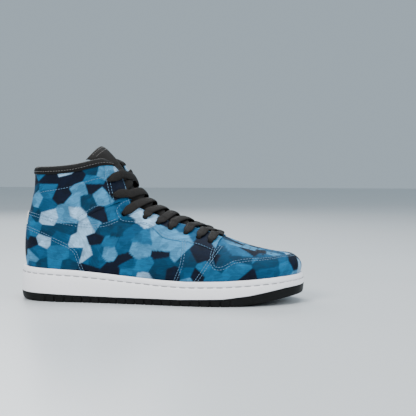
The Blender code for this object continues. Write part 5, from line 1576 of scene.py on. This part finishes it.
def add_tongue():
    """One padded tongue: a crowned face, thin bound edges, and two sewn lines inside its top edge."""
    front, inward, share = tongue_surface()
    across = np.linspace(-1, 1, front.shape[1])[None, :]
    length = grid_lengths(front)[0][:, 20]
    from_top = length[-1] - length[:, None]
    edge = np.clip((1 - np.abs(across)) / 0.16, 0, 1) * np.clip(from_top / 2.2, 0, 1)
    plump = np.sqrt(edge * (2 - edge))
    sewn = smooth(share, SEWN * 0.8, SEWN * 0.8 + 0.1)[:, None]
    thick = 1.4 + (TONGUE_THICK - 1.4) * sewn * plump
    creases = sum(np.exp(-(((from_top - d) / 0.55) ** 2)) for d in (3.0, 6.2))
    strap = np.exp(-(((from_top - 27) / 0.6) ** 2)) + np.exp(-(((from_top - 37) / 0.6) ** 2))
    lift = -0.55 * creases * edge - 0.5 * strap + 0.35 * sewn * plump
    lift = lift - 0.8 * (1 - plump) * sewn
    face = front - inward * lift[..., None]
    back = front + inward * (thick + 0.3 * (1 - plump))[..., None]
    piece = grid_piece("tongue_pad", [face, back], "tongue", sharp=60)
    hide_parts("tongue", "tongue_flap")
    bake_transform(piece)
    runs = []
    for distance in (3.0, 6.2):
        k = int(np.argmin(np.abs(from_top[:, 0] - distance)))
        runs.append((face[k, 3:-3] - inward[k, 3:-3] * 0.05, -inward[k, 3:-3]))
    stitches = add_stitches("tongue_stitches", runs, "dark_thread", radius=0.3)
    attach(stitches, "tongue_top")


# ---------------------------------------------------------------- lace

FLAT_WIDTH = 9.2
FLAT_THICK = 1.9
FLAT_IN_HOLE = 5.0


def lace_path():
    """The lace's points, widths and width directions from one tucked end to the other."""
    frames = {side: eyelet_frames(side) for side in SIDES}
    last = len(EYELETS) - 1
    halves = {side: lace_half(frames, side) for side in SIDES}
    bar = []
    ahead = np.array([1.8, 0, -0.8])
    for side in (1, -1):
        centre, normal = frames[side][last][:2]
        following = halves[side][0][0]
        edge = frames[side][last][2] + frames[side][last][3] * OVER + ahead
        bar.append([(edge, LACE_WIDTH)] + through_hole(centre, normal, edge, following))
    ridge, front = ridge_at(frames[1][last][4])
    middle = [(ridge + front * 3.2 + ahead * 1.6, LACE_WIDTH)]
    path = halves[1][::-1] + bar[0][::-1] + middle + bar[1] + halves[-1]
    across = along_throat(frames, [p for p, _ in path])
    twist_end(across, [p for p, _ in path])
    across.reverse()
    twist_end(across, [p for p, _ in path[::-1]])
    across.reverse()
    return np.array([p for p, _ in path]), np.array([w for _, w in path]), np.array(across)


def add_lace():
    """A flat woven lace, swept finely along its route. It narrows and thickens where it enters an eyelet."""
    points, widths, across = lace_path()
    widths = (widths - LACE_IN_HOLE) * (FLAT_WIDTH - FLAT_IN_HOLE) / (LACE_WIDTH - LACE_IN_HOLE)
    widths = FLAT_IN_HOLE + widths
    table = np.column_stack([points, widths, across * 3])
    fine = smooth_curve(table, 1900)
    points, widths, across = fine[:, :3], np.clip(fine[:, 3], 3.0, FLAT_WIDTH), fine[:, 4:]
    ahead = np.gradient(points, axis=0)
    ahead /= np.maximum(np.linalg.norm(ahead, axis=1, keepdims=True), 1e-9)
    across = across - ahead * (across * ahead).sum(1, keepdims=True)
    across /= np.linalg.norm(across, axis=1, keepdims=True)
    up = np.cross(ahead, across)
    turns = np.linspace(0, 2 * math.pi, 20, endpoint=False)
    wide = np.sign(np.cos(turns)) * np.abs(np.cos(turns)) ** 0.75
    tall = np.sign(np.sin(turns)) * np.abs(np.sin(turns)) ** 0.75
    thick = FLAT_THICK * (1 + 0.7 * (1 - widths / FLAT_WIDTH))
    outward = np.sign((up * (points - (0, 0, 40))).sum(1))[:, None]
    cup = (0.35 * (1 - wide**2) * (widths[:, None] / FLAT_WIDTH)) * outward
    rings = (points[:, None] + across[:, None] * (wide[None, :, None] * widths[:, None, None] / 2)
             + up[:, None] * (tall[None] * thick[:, None] / 2 + cup)[..., None])
    length = run_length(points)
    cloth = np.stack(np.broadcast_arrays(wide[None] * widths[:, None] / 2, length[:, None]), -1)
    faces = ring_faces(0, len(points), 20)
    piece = add_piece("lace_flat", rings, faces, "lace", cloth, sharp=70, merge=0.001)
    settle(piece, "lace", "lace")


# ---------------------------------------------------------------- sole

SOLE_STITCH_PITCH = 9.4
SOLE_STITCH_LENGTH = 6.4
# The cup's wall in section: (distance beyond the flare, height above the groove's middle or the wall's top).
CUP_GROOVE = [(-0.5, -1.3), (-0.75, -0.75), (-1.6, -0.25), (-1.6, 0.25), (-0.9, 0.75), (-0.75, 1.3)]
CUP_LIP = [(-1.0, -2.4), (-1.35, -1.1), (-1.8, -0.35), (-2.4, 0.0)]


def add_cupsole():
    """The white cup with its sewn groove, and the stitches that lie in it."""
    ribs = feather_loop(170)

    def part_way(share):
        return lambda s: along(OUTSOLE_TOP, s) * (1 - share) + along(CUP_TOP, s) * share

    def half_way(station):
        return (along(CUP_TOP, station) + feather_height()(station)) / 2

    wall = [(-0.9, level(OUTSOLE_TOP, 0.15)), (-0.2, level(OUTSOLE_TOP, 0.5)), (0.0, part_way(0.15)),
            (0.05, part_way(0.3)), (-0.25, part_way(0.5))]
    wall += [(out, level(CUP_TOP, rise - STITCH_DROP)) for out, rise in CUP_GROOVE]
    wall += [(out, level(CUP_TOP, rise)) for out, rise in CUP_LIP]
    rows = [sole_row(ribs, SOLE_FLARE + out, height) for out, height in wall]
    rows += [
        sole_row(ribs, clear_of_upper(ribs, level(CUP_TOP, -0.4), 0.35), level(CUP_TOP, -0.3)),
        sole_row(ribs, clear_of_upper(ribs, half_way, 0.35), half_way),
        sole_row(ribs, 4.2, feather_height(-0.5)),
        sole_row(ribs, 3.0, cup_floor),
    ]
    piece = add_slab("cupsole_wall", rows, "cupsole")
    settle(piece, "cupsole_rubber", "cupsole")
    line = sole_row(np.append(ribs, ribs[:1] + LOOP), SOLE_FLARE - 1.25, level(CUP_TOP, -STITCH_DROP))
    normal = surface(np.append(ribs, ribs[:1] + LOOP), 0.05 * np.ones(len(ribs) + 1))[1] * (1, 1, 0)
    normal /= np.linalg.norm(normal, axis=1, keepdims=True)
    stitches = add_stitches("sole_stitches", [(line, normal)], "sole_thread", pitch=SOLE_STITCH_PITCH,
                            length=SOLE_STITCH_LENGTH, radius=0.45)
    settle(stitches, "sole_thread", "sole_stitch")


BLOCK_GROOVE = 1.5  # gaps between the tread's side blocks
BLOCK_DEPTH = 0.9
BLOCKS_FROM, BLOCKS_TO = 38.0, 226.0  # stations between which the side is cut into blocks


def block_loop():
    """Ribs round the outsole and how far its side is cut in at each: narrow gaps between wide blocks."""
    ribs = feather_loop(620)
    point = surface(ribs, 0.0 * ribs)[0]
    run = run_length(point)
    phase = (run / TREAD_PITCH) % 1 * TREAD_PITCH
    station = point[:, 0] + MIDDLE
    notch = np.clip((BLOCK_GROOVE / 2 - np.abs(phase - TREAD_PITCH / 2)) / 0.35 + 0.5, 0, 1)
    behind, ahead = smooth(station, BLOCKS_FROM - 4, BLOCKS_FROM), smooth(station, BLOCKS_TO, BLOCKS_TO + 4)
    return ribs, notch * behind * (1 - ahead)


def add_outsole():
    """The black outsole: side blocks, a plain heel and toe, a rounded lower edge and cut grooves beneath."""
    ribs, notch = block_loop()

    def part(share):
        return lambda s: along(OUTSOLE_BOTTOM, s) * (1 - share) + along(OUTSOLE_TOP, s) * share

    base = level(OUTSOLE_BOTTOM)
    # Rows from the underside up: (distance beyond the flare, depth of the gaps between blocks, height).
    profile = [(-14.0, 0, base), (-6.0, 4, base), (-1.7, 3, base),
               (-1.0, 2, level(OUTSOLE_BOTTOM, 0.35)), (-0.7, BLOCK_DEPTH, part(0.22)),
               (-0.3, BLOCK_DEPTH, part(0.6)), (-0.15, BLOCK_DEPTH, part(0.8)), (-0.1, 0, part(0.84)),
               (-0.1, 0, part(0.95)), (-0.5, 0, part(1.0))]
    rows = [sole_row(ribs, SOLE_FLARE + out - notch * depth, height) for out, depth, height in profile]
    settle(add_slab("outsole_tread", rows, "outsole"), "outsole_rubber", "outsole")


def add_sockliner():
    """The loose footbed, cupped at the heel, with a crowned textile face."""
    ribs = feather_loop(120)
    raised = 2.0

    def top(extra):
        return lambda s: feather_height(extra)(s) + raised * (1 - smooth(s, 60, 120))

    profile = [(-6.4, feather_height(0.0)), (-6.0, feather_height(1.5)), (-6.1, top(4.4)), (-6.6, top(5.2)),
               (-7.6, top(5.3)), (-9.4, feather_height(4.6)), (-12.0, feather_height(4.3)),
               (-16.0, feather_height(4.2))]
    rows = [sole_row(ribs, out, height) for out, height in profile]
    piece = add_slab("sockliner_footbed", rows, "footbed")
    settle(piece, "sockliner", "sockliner", body="insole")


def add_heel_tab():
    """A small white leather tab over the back seam, with rounded corners."""
    ribs = np.linspace(-0.42, 0.42, 17)
    low, high = share_at_height(0, 80.3), share_at_height(0, 92.3)
    shares = np.linspace(low, high, 15)
    rib_grid, share_grid = np.meshgrid(ribs, shares, indexing="ij")
    a = np.clip((1 - np.abs(rib_grid) / 0.42) * 5, 0, 1)
    b = np.clip((1 - np.abs(2 * (share_grid - low) / (high - low) - 1)) * 4, 0, 1)
    near = np.minimum(a, b)
    top = THICK["quarter"] + 0.4 + 1.2 * np.sqrt(near * (2 - near))
    grids = [offset_surface(rib_grid, share_grid, top),
             offset_surface(rib_grid, share_grid, np.full(top.shape, THICK["quarter"] + 0.2))]
    settle(grid_piece("heel_tab_leather", grids, "tab"), "heel_tab", "heel_tab")


# ---------------------------------------------------------------- parts kept from the frame

KEPT = {"aglet_a": "plastic", "aglet_b": "plastic", "heel_counter": "board",
        "toe_puff": "board", "insole_board": "board", "foam_wedge": "foam", "collar_foam": "foam",
        "vamp_lining": "foam"}


def dress_kept_nodes():
    """Gives the CAD nodes that stay their finished materials."""
    for name, look in KEPT.items():
        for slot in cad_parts[name].material_slots:
            slot.link = "OBJECT"
            slot.material = MATERIAL[look]


# ---------------------------------------------------------------- camera, lights and floor

CAMERA_DISTANCE = 1.0
CAMERA_HEIGHT = 0.146
CAMERA_YAW = math.radians(8)
CAMERA_PITCH = math.radians(2.87)
AIM_X = 0.0495  # where the view's middle crosses the shoe's plane


def add_camera():
    data = bpy.data.cameras.new("camera")
    data.lens = 82.8
    data.sensor_width = 36
    camera = link("camera", data)
    camera.location = (AIM_X + CAMERA_DISTANCE * math.sin(CAMERA_YAW),
                       -CAMERA_DISTANCE * math.cos(CAMERA_YAW), CAMERA_HEIGHT)
    camera.rotation_euler = (math.pi / 2 - CAMERA_PITCH, 0, CAMERA_YAW)
    bpy.context.scene.camera = camera


def add_light(name, place, aim, size, power, colour):
    data = bpy.data.lights.new(name, "AREA")
    data.shape = "DISK"
    data.size = size
    data.energy = power
    data.color = colour
    light = link(name, data)
    light.location = place
    light.rotation_mode = "QUATERNION"
    light.rotation_quaternion = (Vector(place) - Vector(aim)).to_track_quat("Z", "Y")


def add_plane(name, corners, colour, roughness):
    mesh = bpy.data.meshes.new(name)
    mesh.from_pydata(corners, [], [(0, 1, 2, 3)])
    made, tree, shader = new_material(name, colour, roughness)
    grain = noise(tree, body_vector(tree), 0.004, 4.0)
    set_colour(tree, shader, mixed(tree, colour, tuple(c * 0.93 for c in colour), grain))
    mesh.materials.append(made)
    plane = link(name, mesh)


def add_studio():
    add_plane("floor", [(-4, -4, 0), (4, -4, 0), (4, 4, 0), (-4, 4, 0)], linear(206, 209, 211), 0.32)
    middle = (0.0, 0.0, 0.06)
    add_light("key", (-0.7, -1.3, 1.3), middle, 1.0, 33, (1.0, 0.985, 0.96))
    add_light("top", (0.15, 0.15, 1.3), middle, 1.2, 16, (0.95, 0.98, 1.0))
    add_light("right", (1.2, -0.7, 0.8), middle, 0.8, 11, (0.95, 0.98, 1.0))
    add_light("back", (-0.6, 1.2, 0.9), middle, 0.9, 12, (1.0, 1.0, 1.0))
    world = bpy.data.worlds.new("studio")
    world.use_nodes = True
    world.node_tree.nodes["Background"].inputs["Color"].default_value = (*linear(190, 208, 220), 1)
    world.node_tree.nodes["Background"].inputs["Strength"].default_value = 0.75
    bpy.context.scene.world = world


add_camera()
add_studio()
side_panels()
wrap_panels()
toe_box_piece()
add_perforations()
add_seam_stitches()
add_quarter_lining()
add_collar_binding()
add_tongue()
add_lace()
add_cupsole()
add_outsole()
add_sockliner()
add_heel_tab()
dress_kept_nodes()
